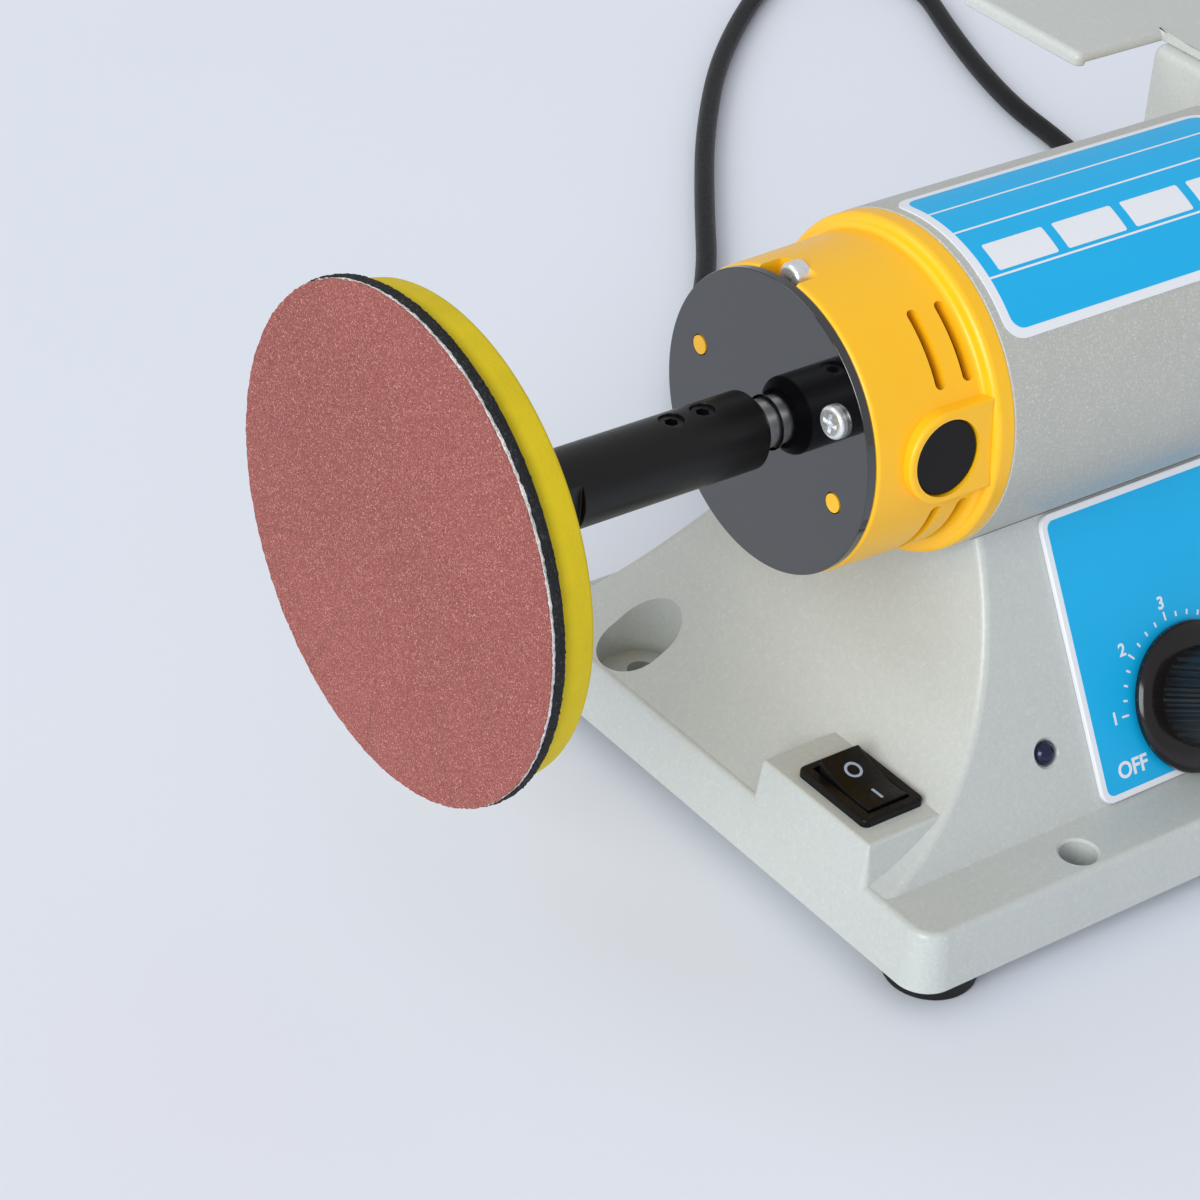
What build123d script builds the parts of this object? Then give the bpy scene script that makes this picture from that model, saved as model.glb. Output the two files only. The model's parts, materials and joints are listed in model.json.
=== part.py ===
"""Bench polisher: a universal motor on a cast base, with a sanding pad on its left spindle.

Frame: millimetres, +X to the right along the motor shaft, +Y to the back, +Z up.
The origin is the middle of the base's footprint, on the bench top.
"""

from build123d import *
from math import acos, cos, degrees, hypot, pi, radians, sin, tan
import os

os.makedirs("parts", exist_ok=True)

# Play between fitted pieces
FIT = 0.05

# Motor line
AXIS_Z = 98.5
BARREL_R = 35.0
BARREL_BORE_R = 32.5
BARREL_HALF = 47.6
BARREL_CHAMFER = 0.25
CAP_FACE = 79.0
PLATE_FACE = 81.0
SHAFT_R = 5.0

# Cast base
FOOT_H = 5.0
FLANGE_TOP = 18.5
FLANGE_L = 172.0
FLANGE_W = 137.0
FLANGE_CORNER_R = 7.0
FLANGE_EDGE_R = 1.5
DRAFT = 6.0
WALL = 4.0
RAMP_CENTRE_X = 103.0
RAMP_CENTRE_Z = 76.2
RAMP_FOOT_X = FLANGE_L / 2 - FLANGE_EDGE_R
RAMP_R = hypot(RAMP_CENTRE_X - RAMP_FOOT_X, RAMP_CENTRE_Z - FLANGE_TOP)
TOWER_TOP = 90.0
TOWER_SINK = 12.0
TOWER_EDGE_R = 1.8
FRONT_TOP_Y = -23.1
BACK_TOP_Y = 31.0
SHOULDER_Z = 72.5
FRONT_LEAN = 30.0
BACK_LEAN = 30.8
SADDLE_GAP = 0.1
SADDLE_SCREW_X = 34.0
SADDLE_SCREW_R = 2.0
CAVITY_TOP = FLANGE_TOP - WALL
CAVITY_X = 80.0
CAVITY_FRONT = -55.0
CAVITY_BACK = 61.0

# Bench holes, feet and cover
FRONT_HOLE_X = 41.0
FRONT_HOLE_Y = -62.6
FRONT_HOLE_R = 4.0
FRONT_HOLE_RIM = 0.5
POCKET_X = (73.6, 76.7)
POCKET_Y = 40.0
POCKET_R = 7.7
POCKET_FLOOR = 13.4
POCKET_WALL_L = 30.0
POCKET_HOLE_R = 3.25
POCKET_PAD = 2.5
FOOT_X = 75.0
FOOT_FRONT_Y = -59.0
FOOT_BACK_Y = 57.0
FOOT_R = 10.5
FOOT_SCREW_R = 2.0
FOOT_BOSS_R = 7.0
FOOT_HOLE_TOP = 13.0
COVER_T = 2.0
COVER_LIFT = 0.2
COVER_TOP = FOOT_H + COVER_LIFT + COVER_T
COVER_GAP = 0.4

# Switch
POD_TOP = 28.0
POD_X = (-86.16, -62.0)
POD_Y = (-49.0, -13.2)
POD_ROOT = 17.0
SWITCH_X = -74.5
SWITCH_Y = -32.6
BEZEL_L = 21.4
BEZEL_W = 15.6
BEZEL_T = 1.8
SWITCH_BODY_L = 18.8
SWITCH_BODY_W = 12.8
SWITCH_BODY_H = 13.0
WINDOW_L = 17.6
WINDOW_W = 10.8
WINDOW_H = 9.0
ROCKER_W = 10.2
ROCKER_TILT = 9.0
ROCKER_PIVOT = 1.5

# Front face controls, measured down the face from the barrel
PANEL_X = 1.5
PANEL_TOP = 0.6
PANEL_H = 61.6
PANEL_W = 56.8
PANEL_T = 1.2
PANEL_CORNER_R = 3.0
KNOB_DOWN = 47.2
KNOB_SKIRT_R = 16.0
KNOB_SKIRT_H = 3.0
KNOB_GRIP_R = 10.6
KNOB_H = 16.0
KNOB_LIFT = 0.8
KNOB_RIBS = 30
KNOB_RIB_R = 0.55
FACE_SCREW_X = 37.6
FACE_SCREW_DOWN = 47.1
FACE_SCREW_R = 2.6
FACE_SHANK_R = 1.45
FACE_SCREW_H = 1.3
FACE_SCREW_SUNK = 1.6
FACE_SCREW_RIM = 0.5
POT_R = 8.2
POT_DEPTH = 9.0
BUSHING_R = 3.5
POT_SHAFT_R = 3.0
POT_SHAFT_TIP = 12.0

# Spindle
ROD_R = 8.0
ROD_LEFT = -157.0
ROD_RIGHT = -84.3
ROD_CHAMFER = 2.0
ROD_FLAT = (-141.0, -130.0)
ROD_FLAT_DEPTH = 1.5
STUD_R = 4.9
STUD_L = 6.0
SET_SCREW_X = (-104.6, -97.1)
SET_SCREW_R = 2.5
DISC_FACE = -168.0
DISC_R = 50.0
DISC_T = 0.9
HOOK_T = 2.4
PAD_FRONT = DISC_FACE + DISC_T + HOOK_T
SHAFT_LEFT = -110.0
SHAFT_RIGHT = 99.0
SHAFT_STEP = 67.8
STUB_START = 82.0
GROOVE_W = 2.0
GROOVE_DEPTH = 0.3
SHAFT_MID_R = 6.0

# Motor ends, angles measured up from the front about the motor axis
CAP_R = 31.2
CAP_ROOT_R = 31.9
CAP_BORE_R = 7.5
RIM_R = 34.9
RIM_START = 52.2
BRUSH_ANGLE = 6.7
BRUSH_X = -63.2
BRUSH_CAP_R = 7.7
BRUSH_CAP_T = 1.3
BRUSH_CAP_SUNK = 0.6
BOSS_R = 9.5
BOSS_TOP = 33.4
BEARING_R = 13.0
BEARING_FACE = 76.0
BEARING_T = 8.0
SEAT_R = 16.0
SLOT_X = (61.8, 55.1)
SLOT_W = 2.4
SLOT_L = 16.4
SLOT_SPREAD = 38.05
PLATE_R = 30.9
PLATE_PCR = 22.7
PLATE_SCREW_R = 1.5
PLATE_HOLE_R = 2.1
PLATE_PIN_R = 1.95
PLATE_BORE_R = 5.6
BOLT_PCR = 29.0
BOLT_R = 1.9
BOLT_HEAD_R = 3.2
BOLT_HEAD_H = 3.4
BOLT_HEAD_ROUND = 1.1
BOLT_SLOT_W = 1.1
BOLT_SLOT_DEPTH = 2.2
BOLT_NUT_R = 3.1
BOLT_NUT_H = 2.8
BOLT_ANGLES = (96.0, -84.0)
NOTCH_W = 11.2
NOTCH_DEPTH = 6.0
NOTCH_FLOOR_R = 25.8
CORE_LEFT = -30.0
CORE_RIGHT = 22.0
CORE_R = 19.0
COMM_R = 13.8
COMM_X = (-66.5, -56.0)

# Mains cord
CORD_D = 5.6
CORD_Z = CORD_D / 2 + 0.3
EXIT_Z = 12.0
EXIT_R = 4.6
BOOT_END = 95.0
COIL_CENTRE = (112.0, 128.0)
COIL_R = 36.5
COIL_PITCH = 6.2
COIL_Z = 4.3
COIL_TURNS = 4.5
COIL_STEPS = 4
CORD_RUN = [
    (0, 88, EXIT_Z),
    (0, 106, EXIT_Z),
    (5, 124, 8.4),
    (17, 143, 4.0),
    (36, 164, CORD_Z),
    (60, 188, CORD_Z),
    (85, 222, CORD_Z),
    (113, 258, CORD_Z),
    (148.5, 296.5, CORD_Z),
    (195.5, 333.6, CORD_Z),
    (210.1, 335.3, CORD_Z),
    (223.5, 329.3, CORD_Z),
    (232.1, 317.4, CORD_Z),
    (233.5, 302.8, CORD_Z),
    (221, 276.2, CORD_Z),
    (210.5, 250.5, CORD_Z),
    (202.3, 225, CORD_Z),
    (199.2, 203.5, CORD_Z),
    (194, 183, CORD_Z),
    (181, 168.5, 3.4),
    (163, 163.2, 3.9),
    (142.5, 164.5, COIL_Z),
    (COIL_CENTRE[0] + CORD_D, COIL_CENTRE[1] + COIL_R, COIL_Z),
]
PLUG_X = 164.0
PLUG_Y = 97.0
PLUG_Z = 8.0
PLUG_PIN_SPACING = 19.0

# Work rest
REST_WALL_X = 88.0
REST_SHEET = 3.0
REST_TOP = 114.5
REST_TABLE_T = 2.5
REST_WING_X = 64.4
REST_RIGHT_X = 112.0
REST_FRONT_Y = 22.0
REST_WING_Y = 70.9
REST_BACK_Y = 110.0
REST_LIP = 3.3
REST_BOLT_Y = (28.5, 60.0)
REST_BOLT_Z = 11.5
REST_BOLT_R = 2.5
REST_PAD_R = 5.5

UP = (Align.CENTER, Align.CENTER, Align.MIN)
DOWN = (Align.CENTER, Align.CENTER, Align.MAX)
SPIN_AXIS = Axis((0, 0, AXIS_Z), (1, 0, 0))
MERIDIAN = Plane(origin=(0, 0, AXIS_Z), x_dir=(1, 0, 0), z_dir=(0, -1, 0))


def axial(x):
    """A plane across the motor axis: local x runs to the back, local y up, normal to the right."""
    return Plane(origin=(x, 0, AXIS_Z), x_dir=(0, 1, 0), z_dir=(1, 0, 0))


def radial(x, distance, angle):
    """A plane facing out from the motor axis: local x runs to the right."""
    out_y = -cos(radians(angle))
    out_z = sin(radians(angle))
    origin = (x, distance * out_y, AXIS_Z + distance * out_z)
    return Plane(origin=origin, x_dir=(1, 0, 0), z_dir=(0, out_y, out_z))


def half_plane(angle):
    """The plane through the motor axis at an angle: local x to the right, local y outwards."""
    return Plane(
        origin=(0, 0, AXIS_Z),
        x_dir=(1, 0, 0),
        z_dir=(0, -sin(radians(angle)), -cos(radians(angle))),
    )


def polar_point(radius, angle):
    """Local coordinates on an axial plane of a point at an angle up from the front."""
    return (-radius * cos(radians(angle)), radius * sin(radians(angle)))


def turned(points):
    """A solid of revolution about the motor axis, from (x, radius) points."""
    with BuildPart() as solid:
        with BuildSketch(MERIDIAN):
            with BuildLine():
                Polyline(*points, close=True)
            make_face()
        revolve(axis=SPIN_AXIS)
    return solid.part


def on_face(down, height=0.0, x=0.0):
    """A plane on the leaning front face: local y runs up the face, normal outwards."""
    lean = radians(FRONT_LEAN)
    y = FRONT_TOP_Y - down * sin(lean) - height * cos(lean)
    z = SHOULDER_Z - down * cos(lean) + height * sin(lean)
    return Plane(origin=(x, y, z), x_dir=(1, 0, 0), z_dir=(0, -cos(lean), sin(lean)))


def front_y(z):
    return FRONT_TOP_Y - (SHOULDER_Z - z) * tan(radians(FRONT_LEAN))


def back_y(z):
    return BACK_TOP_Y + (SHOULDER_Z - z) * tan(radians(BACK_LEAN))


def tower_block(inset, foot_x, bottom):
    """The block between flange and barrel: concave at both ends, leaning at front and back."""
    ramp_r = RAMP_R + inset
    shoulder_x = RAMP_CENTRE_X - ramp_r
    foot_angle = degrees(acos((RAMP_CENTRE_X - foot_x) / ramp_r))
    foot_z = RAMP_CENTRE_Z - ramp_r * sin(radians(foot_angle))
    front_in = inset / cos(radians(FRONT_LEAN))
    back_in = inset / cos(radians(BACK_LEAN))
    with BuildPart() as block:
        with BuildSketch(Plane.XZ):
            with BuildLine():
                Line((0, bottom), (foot_x, bottom))
                Line((foot_x, bottom), (foot_x, foot_z))
                CenterArc((RAMP_CENTRE_X, RAMP_CENTRE_Z), ramp_r, 180, foot_angle)
                Line((shoulder_x, RAMP_CENTRE_Z), (shoulder_x, TOWER_TOP))
                Line((shoulder_x, TOWER_TOP), (0, TOWER_TOP))
                mirror(about=Plane.YZ)
            make_face()
        extrude(amount=FLANGE_W, both=True)
        with BuildSketch(Plane.YZ):
            with BuildLine():
                Polyline(
                    (front_y(bottom) + front_in, bottom),
                    (back_y(bottom) - back_in, bottom),
                    (back_y(TOWER_TOP) - back_in, TOWER_TOP),
                    (front_y(TOWER_TOP) + front_in, TOWER_TOP),
                    close=True,
                )
            make_face()
        extrude(amount=FLANGE_L, both=True, mode=Mode.INTERSECT)
    return block.part


# Cast base
with BuildPart() as tower:
    add(tower_block(0, RAMP_FOOT_X, TOWER_SINK))
    corners = tower.edges().filter_by(lambda e: e.bounding_box().size.Z > WALL + TOWER_SINK)
    fillet(corners, TOWER_EDGE_R)

with BuildPart() as pod:
    with BuildSketch(Plane.XY.offset(POD_ROOT)):
        with Locations(((POD_X[0] + POD_X[1]) / 2, (POD_Y[0] + POD_Y[1]) / 2)):
            RectangleRounded(POD_X[1] - POD_X[0], POD_Y[1] - POD_Y[0], 1.6)
    extrude(amount=POD_TOP - POD_ROOT, taper=DRAFT)
    fillet(pod.edges().group_by(Axis.Z)[-1], 0.8)

with BuildPart() as pocket_walls:
    for side in (-1, 1):
        with BuildSketch(Plane.XY.offset(TOWER_SINK)):
            with Locations((side * POCKET_X[0], POCKET_Y)):
                Circle(POCKET_R + POCKET_PAD)
            with Locations((side * (POCKET_X[0] + POCKET_WALL_L / 2), POCKET_Y)):
                Rectangle(POCKET_WALL_L, 2 * (POCKET_R + POCKET_PAD))
        extrude(amount=TOWER_TOP - TOWER_SINK)
    add(tower.part, mode=Mode.INTERSECT)

with BuildPart() as base_cavity:
    add(tower_block(WALL, CAVITY_X, 0))
    with BuildSketch(Plane.XY):
        with Locations((0, (CAVITY_FRONT + CAVITY_BACK) / 2)):
            RectangleRounded(2 * CAVITY_X, CAVITY_BACK - CAVITY_FRONT, FLANGE_CORNER_R)
    extrude(amount=CAVITY_TOP)
    with Locations(axial(-FLANGE_L)):
        Cylinder(BARREL_R + WALL, 2 * FLANGE_L, align=UP, mode=Mode.SUBTRACT)

with BuildPart() as base_casting:
    rise = FLANGE_TOP - FOOT_H
    spread = 2 * rise * tan(radians(DRAFT))
    with BuildSketch(Plane.XY.offset(FOOT_H)):
        RectangleRounded(FLANGE_L + spread, FLANGE_W + spread, FLANGE_CORNER_R)
    extrude(amount=rise, taper=DRAFT)
    fillet(base_casting.edges().group_by(Axis.Z)[-1], FLANGE_EDGE_R)
    add(tower.part)
    add(pod.part)
    add(base_cavity.part, mode=Mode.SUBTRACT)
    add(pocket_walls.part)
    # thick places under the bolt pockets and round the back foot screws
    for side in (-1, 1):
        with Locations((side * (CAVITY_X - 10), POCKET_Y, COVER_TOP)):
            Box(POCKET_WALL_L, 2 * (POCKET_R + POCKET_PAD), CAVITY_TOP - COVER_TOP + 1, align=UP)
        with Locations((side * FOOT_X, FOOT_BACK_Y, COVER_TOP)):
            Cylinder(FOOT_BOSS_R, CAVITY_TOP - COVER_TOP + 1, align=UP)
    # pads on the right end wall for the work rest
    for y in REST_BOLT_Y:
        with Locations(Plane(origin=(CAVITY_X, y, REST_BOLT_Z), z_dir=(1, 0, 0))):
            Cylinder(REST_PAD_R, REST_WALL_X - CAVITY_X, align=UP)
    # saddle for the barrel
    with Locations(axial(-FLANGE_L)):
        Cylinder(BARREL_R + SADDLE_GAP, 2 * FLANGE_L, align=UP, mode=Mode.SUBTRACT)
    # bolt pockets, bench holes and foot screw holes
    for side in (-1, 1):
        with BuildSketch(Plane.XY.offset(POCKET_FLOOR)):
            with Locations((side * sum(POCKET_X) / 2, POCKET_Y)):
                SlotCenterToCenter(POCKET_X[1] - POCKET_X[0], 2 * POCKET_R)
        extrude(amount=TOWER_TOP, mode=Mode.SUBTRACT)
        with Locations((side * POCKET_X[0], POCKET_Y, 0)):
            Cylinder(POCKET_HOLE_R, FLANGE_TOP, align=UP, mode=Mode.SUBTRACT)
        with Locations((side * FRONT_HOLE_X, FRONT_HOLE_Y, 0)):
            Cylinder(FRONT_HOLE_R, 2 * FLANGE_TOP, align=UP, mode=Mode.SUBTRACT)
        with Locations((side * FRONT_HOLE_X, FRONT_HOLE_Y, FLANGE_TOP)):
            Cone(FRONT_HOLE_R, FRONT_HOLE_R + FRONT_HOLE_RIM, FRONT_HOLE_RIM, align=DOWN, mode=Mode.SUBTRACT)
        with Locations((side * FOOT_X, FOOT_FRONT_Y, 0), (side * FOOT_X, FOOT_BACK_Y, 0)):
            Cylinder(FOOT_SCREW_R + FIT, FOOT_HOLE_TOP, align=UP, mode=Mode.SUBTRACT)
    # holes for the switch, the potentiometer, the face screws, the cord and the saddle screws
    with Locations((SWITCH_X, SWITCH_Y, CAVITY_TOP - 2)):
        Box(SWITCH_BODY_W + 0.4, SWITCH_BODY_L + 0.4, POD_TOP, align=UP, mode=Mode.SUBTRACT)
    with Locations(on_face(KNOB_DOWN, -2 * WALL, PANEL_X)):
        Cylinder(BUSHING_R + 2 * FIT, 3 * WALL, align=UP, mode=Mode.SUBTRACT)
    for side in (-1, 1):
        with Locations(on_face(FACE_SCREW_DOWN, -2 * WALL, side * FACE_SCREW_X)):
            Cylinder(FACE_SHANK_R + FIT, 3 * WALL, align=UP, mode=Mode.SUBTRACT)
        with Locations(on_face(FACE_SCREW_DOWN, -FACE_SCREW_SUNK, side * FACE_SCREW_X)):
            Cylinder(FACE_SCREW_R + 0.2, WALL, align=UP, mode=Mode.SUBTRACT)
        with Locations(on_face(FACE_SCREW_DOWN, -FACE_SCREW_RIM, side * FACE_SCREW_X)):
            Cone(
                FACE_SCREW_R + 0.2,
                FACE_SCREW_R + 0.2 + FACE_SCREW_RIM,
                FACE_SCREW_RIM,
                align=UP,
                mode=Mode.SUBTRACT,
            )
        with Locations((side * SADDLE_SCREW_X, 0, AXIS_Z - BARREL_R - 2 * WALL)):
            Cylinder(SADDLE_SCREW_R + 2 * FIT, 3 * WALL, align=UP, mode=Mode.SUBTRACT)
    with Locations(Plane(origin=(0, CAVITY_BACK - WALL, EXIT_Z), z_dir=(0, 1, 0))):
        Cylinder(EXIT_R, 4 * WALL, align=UP, mode=Mode.SUBTRACT)
    for y in REST_BOLT_Y:
        with Locations(Plane(origin=(CAVITY_X - 1, y, REST_BOLT_Z), z_dir=(1, 0, 0))):
            Cylinder(REST_BOLT_R + FIT, FLANGE_TOP, align=UP, mode=Mode.SUBTRACT)
base_casting.part.label = "base_casting"
export_step(base_casting.part, "parts/base_casting.step")


def pan_screw(head_r, head_h, shank_r, shank_l, cross):
    """A screw at the origin: the head stands up from z 0 and the shank hangs below it."""
    with BuildPart() as screw:
        Cylinder(head_r, head_h, align=UP)
        fillet(screw.edges().group_by(Axis.Z)[-1], head_h * 0.6)
        if cross > 0:
            with Locations((0, 0, head_h)):
                Box(cross, cross / 4, 1.4, mode=Mode.SUBTRACT)
                Box(cross / 4, cross, 1.4, mode=Mode.SUBTRACT)
        Cylinder(shank_r, shank_l, align=DOWN)
    return screw.part


def across(x, radius, angle):
    """A plane across the motor axis, centred on a point at an angle up from the front."""
    local_y, local_z = polar_point(radius, angle)
    return Plane(origin=(x, local_y, AXIS_Z + local_z), x_dir=(0, 1, 0), z_dir=(1, 0, 0))


# Bottom cover, feet and their screws
FOOT_POINTS = [(side * FOOT_X, y) for side in (-1, 1) for y in (FOOT_FRONT_Y, FOOT_BACK_Y)]
HEAD_Z = 2.6

with BuildPart() as bottom_cover:
    with BuildSketch(Plane.XY.offset(FOOT_H + COVER_LIFT)):
        with Locations((0, (CAVITY_FRONT + CAVITY_BACK) / 2)):
            RectangleRounded(
                2 * (CAVITY_X - COVER_GAP),
                CAVITY_BACK - CAVITY_FRONT - 2 * COVER_GAP,
                FLANGE_CORNER_R - COVER_GAP,
            )
        for side in (-1, 1):
            with Locations((side * POCKET_X[0], POCKET_Y)):
                Circle(POCKET_HOLE_R + 0.2, mode=Mode.SUBTRACT)
            with Locations((side * FOOT_X, FOOT_BACK_Y)):
                Circle(FOOT_SCREW_R + 0.1, mode=Mode.SUBTRACT)
        with GridLocations(9, 0, 6, 1):
            SlotOverall(34, 3, rotation=90, mode=Mode.SUBTRACT)
    extrude(amount=COVER_T)
bottom_cover.part.label = "bottom_cover"
export_step(bottom_cover.part, "parts/bottom_cover.step")

with BuildPart() as rubber_feet:
    with Locations(*FOOT_POINTS):
        Cone(FOOT_R - 1, FOOT_R, FOOT_H, align=UP)
        Cylinder(FOOT_SCREW_R + 0.1, FOOT_H, align=UP, mode=Mode.SUBTRACT)
        Cylinder(4.4, HEAD_Z, align=UP, mode=Mode.SUBTRACT)
rubber_feet.part.label = "rubber_feet"
export_step(rubber_feet.part, "parts/rubber_feet.step")

with BuildPart() as foot_screws:
    for x, y in FOOT_POINTS:
        with Locations(Plane(origin=(x, y, HEAD_Z), x_dir=(1, 0, 0), z_dir=(0, 0, -1))):
            add(pan_screw(head_r=4.0, head_h=2.0, shank_r=FOOT_SCREW_R, shank_l=9.8, cross=5.0))
foot_screws.part.label = "foot_screws"
export_step(foot_screws.part, "parts/foot_screws.step")

# Front face: panel, screws, potentiometer and knob
KNOB_BASE = PANEL_T + KNOB_LIFT
KNOB_OFF_ANGLE = 230.0
RIB_STEP = 360 / KNOB_RIBS
KNOB_RECESS_R = 9.0
KNOB_RECESS_H = 4.0
POINTER_R = 5.4
POINTER_L = 7.0
POINTER_W = 1.2
POINTER_DEPTH = 0.6
NUT_CORNER_R = 5.77
NUT_H = 2.2

with BuildPart() as control_panel:
    with BuildSketch(on_face(PANEL_TOP + PANEL_H / 2, 0, PANEL_X)):
        RectangleRounded(PANEL_W, PANEL_H, PANEL_CORNER_R)
        with Locations((0, PANEL_TOP + PANEL_H / 2 - KNOB_DOWN)):
            Circle(BUSHING_R + 2 * FIT, mode=Mode.SUBTRACT)
    extrude(amount=PANEL_T)
control_panel.part.label = "control_panel"
export_step(control_panel.part, "parts/control_panel.step")

with BuildPart() as face_screws:
    for side in (-1, 1):
        with Locations(on_face(FACE_SCREW_DOWN, -FACE_SCREW_SUNK, side * FACE_SCREW_X)):
            add(pan_screw(FACE_SCREW_R, FACE_SCREW_H, FACE_SHANK_R, shank_l=6.0, cross=0))
face_screws.part.label = "face_screws"
export_step(face_screws.part, "parts/face_screws.step")

with BuildPart() as pot_body:
    with Locations(on_face(KNOB_DOWN, -WALL - POT_DEPTH, PANEL_X)):
        Cylinder(POT_R, POT_DEPTH, align=UP)
    with Locations(on_face(KNOB_DOWN, -WALL, PANEL_X)):
        Cylinder(BUSHING_R, WALL + PANEL_T + 2.6, align=UP)
    with Locations(on_face(KNOB_DOWN, -WALL - 5, PANEL_X)):
        Cylinder(POT_SHAFT_R + 0.06, 30, align=UP, mode=Mode.SUBTRACT)
pot_body.part.label = "pot_body"
export_step(pot_body.part, "parts/pot_body.step")

with BuildPart() as pot_nut:
    with BuildSketch(on_face(KNOB_DOWN, PANEL_T, PANEL_X)):
        RegularPolygon(NUT_CORNER_R, 6)
        Circle(BUSHING_R, mode=Mode.SUBTRACT)
    extrude(amount=NUT_H)
pot_nut.part.label = "pot_nut"
export_step(pot_nut.part, "parts/pot_nut.step")

with BuildPart() as pot_shaft:
    with Locations(on_face(KNOB_DOWN, -WALL - 4.7, PANEL_X)):
        Cylinder(POT_SHAFT_R, WALL + 4.7 + POT_SHAFT_TIP, align=UP)
pot_shaft.part.label = "pot_shaft"
export_step(pot_shaft.part, "parts/pot_shaft.step")

rib_points = []
for rib in range(KNOB_RIBS):
    for turn, radius in ((0.0, 0), (0.34, 0), (0.5, KNOB_RIB_R), (0.84, KNOB_RIB_R)):
        theta = radians((rib + turn) * RIB_STEP)
        reach = KNOB_GRIP_R - KNOB_RIB_R / 2 + radius
        rib_points.append((reach * cos(theta), reach * sin(theta)))

with BuildPart() as speed_knob:
    with Locations(on_face(KNOB_DOWN, KNOB_BASE, PANEL_X)):
        Cone(KNOB_SKIRT_R, KNOB_SKIRT_R - 0.8, KNOB_SKIRT_H, align=UP)
    with BuildSketch(on_face(KNOB_DOWN, KNOB_BASE + KNOB_SKIRT_H, PANEL_X)):
        with BuildLine():
            Polyline(*rib_points, close=True)
        make_face()
    extrude(amount=KNOB_H - KNOB_SKIRT_H, taper=3)
    with Locations(on_face(KNOB_DOWN, KNOB_BASE, PANEL_X)):
        Cylinder(KNOB_RECESS_R, KNOB_RECESS_H, align=UP, mode=Mode.SUBTRACT)
    with Locations(on_face(KNOB_DOWN, 0, PANEL_X)):
        Cylinder(POT_SHAFT_R + 0.02, POT_SHAFT_TIP + 0.1, align=UP, mode=Mode.SUBTRACT)
    with BuildSketch(on_face(KNOB_DOWN, KNOB_BASE + KNOB_H, PANEL_X)):
        pointer = radians(KNOB_OFF_ANGLE)
        with Locations(Location((POINTER_R * cos(pointer), POINTER_R * sin(pointer)), KNOB_OFF_ANGLE)):
            Rectangle(POINTER_L, POINTER_W)
    extrude(amount=-POINTER_DEPTH, mode=Mode.SUBTRACT)
speed_knob.part.label = "speed_knob"
export_step(speed_knob.part, "parts/speed_knob.step")

# Rocker switch
BEZEL_TOP = POD_TOP + BEZEL_T
PIVOT_Z = BEZEL_TOP - ROCKER_PIVOT
TILT = radians(ROCKER_TILT)
ROCKER_PLANE = Plane(
    origin=(SWITCH_X, SWITCH_Y, PIVOT_Z),
    x_dir=(0, cos(TILT), sin(TILT)),
    z_dir=(1, 0, 0),
)
ROCKER_SHAPE = [(-8.0, 3.5), (0, 2.2), (8.0, 3.5), (7.4, -1.5), (3, -4.5), (-3, -4.5), (-7.4, -1.5)]
PIN_R = 0.8
PIN_HOLE_R = 1.1

with BuildPart() as switch_housing:
    with BuildSketch(Plane.XY.offset(POD_TOP)):
        with Locations((SWITCH_X, SWITCH_Y)):
            RectangleRounded(BEZEL_W, BEZEL_L, 1.5)
    extrude(amount=BEZEL_T)
    fillet(switch_housing.edges().group_by(Axis.Z)[-1], 0.6)
    with Locations((SWITCH_X, SWITCH_Y, POD_TOP)):
        Box(SWITCH_BODY_W, SWITCH_BODY_L, SWITCH_BODY_H, align=DOWN)
    with Locations((SWITCH_X, SWITCH_Y, BEZEL_TOP)):
        Box(WINDOW_W, WINDOW_L, WINDOW_H, align=DOWN, mode=Mode.SUBTRACT)
    with Locations(Plane(origin=(SWITCH_X, SWITCH_Y, PIVOT_Z), z_dir=(1, 0, 0))):
        Cylinder(PIN_HOLE_R, WINDOW_W + 1.6, mode=Mode.SUBTRACT)
switch_housing.part.label = "switch_housing"
export_step(switch_housing.part, "parts/switch_housing.step")

with BuildPart() as switch_rocker:
    with BuildSketch(ROCKER_PLANE):
        with BuildLine():
            Polyline(*ROCKER_SHAPE, close=True)
        make_face()
    extrude(amount=ROCKER_W / 2, both=True)
    with Locations(ROCKER_PLANE):
        Cylinder(PIN_R, ROCKER_W + 1.8)
switch_rocker.part.label = "switch_rocker"
export_step(switch_rocker.part, "parts/switch_rocker.step")

with BuildPart() as switch_terminals:
    for step in (-6, 0, 6):
        with Locations((SWITCH_X, SWITCH_Y + step, POD_TOP - SWITCH_BODY_H)):
            Box(4.8, 0.8, 6.2, align=DOWN)
switch_terminals.part.label = "switch_terminals"
export_step(switch_terminals.part, "parts/switch_terminals.step")

# Speed control board inside the base
BOARD_Z = 10.2
BOARD_T = 1.6
BOARD_CENTRE = (8.0, 6.0)
BOARD_SIZE = (62.0, 42.0)
STANDOFF_R = 2.5
SINK_H = 20.0

with BuildPart() as control_board:
    with Locations((BOARD_CENTRE[0], BOARD_CENTRE[1], BOARD_Z)):
        Box(*BOARD_SIZE, BOARD_T, align=UP)
    for x, y, wide, deep, high in ((-12, -8, 18, 12, 12), (-12, 10, 10, 10, 16), (6, -10, 8, 8, 9)):
        with Locations((BOARD_CENTRE[0] + x, BOARD_CENTRE[1] + y, BOARD_Z + BOARD_T)):
            Box(wide, deep, high, align=UP)
control_board.part.label = "control_board"
export_step(control_board.part, "parts/control_board.step")

with BuildPart() as board_standoffs:
    for x in (-27, 27):
        for y in (-17, 17):
            with Locations((BOARD_CENTRE[0] + x, BOARD_CENTRE[1] + y, COVER_TOP)):
                Cylinder(STANDOFF_R, BOARD_Z - COVER_TOP, align=UP)
board_standoffs.part.label = "board_standoffs"
export_step(board_standoffs.part, "parts/board_standoffs.step")

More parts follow.
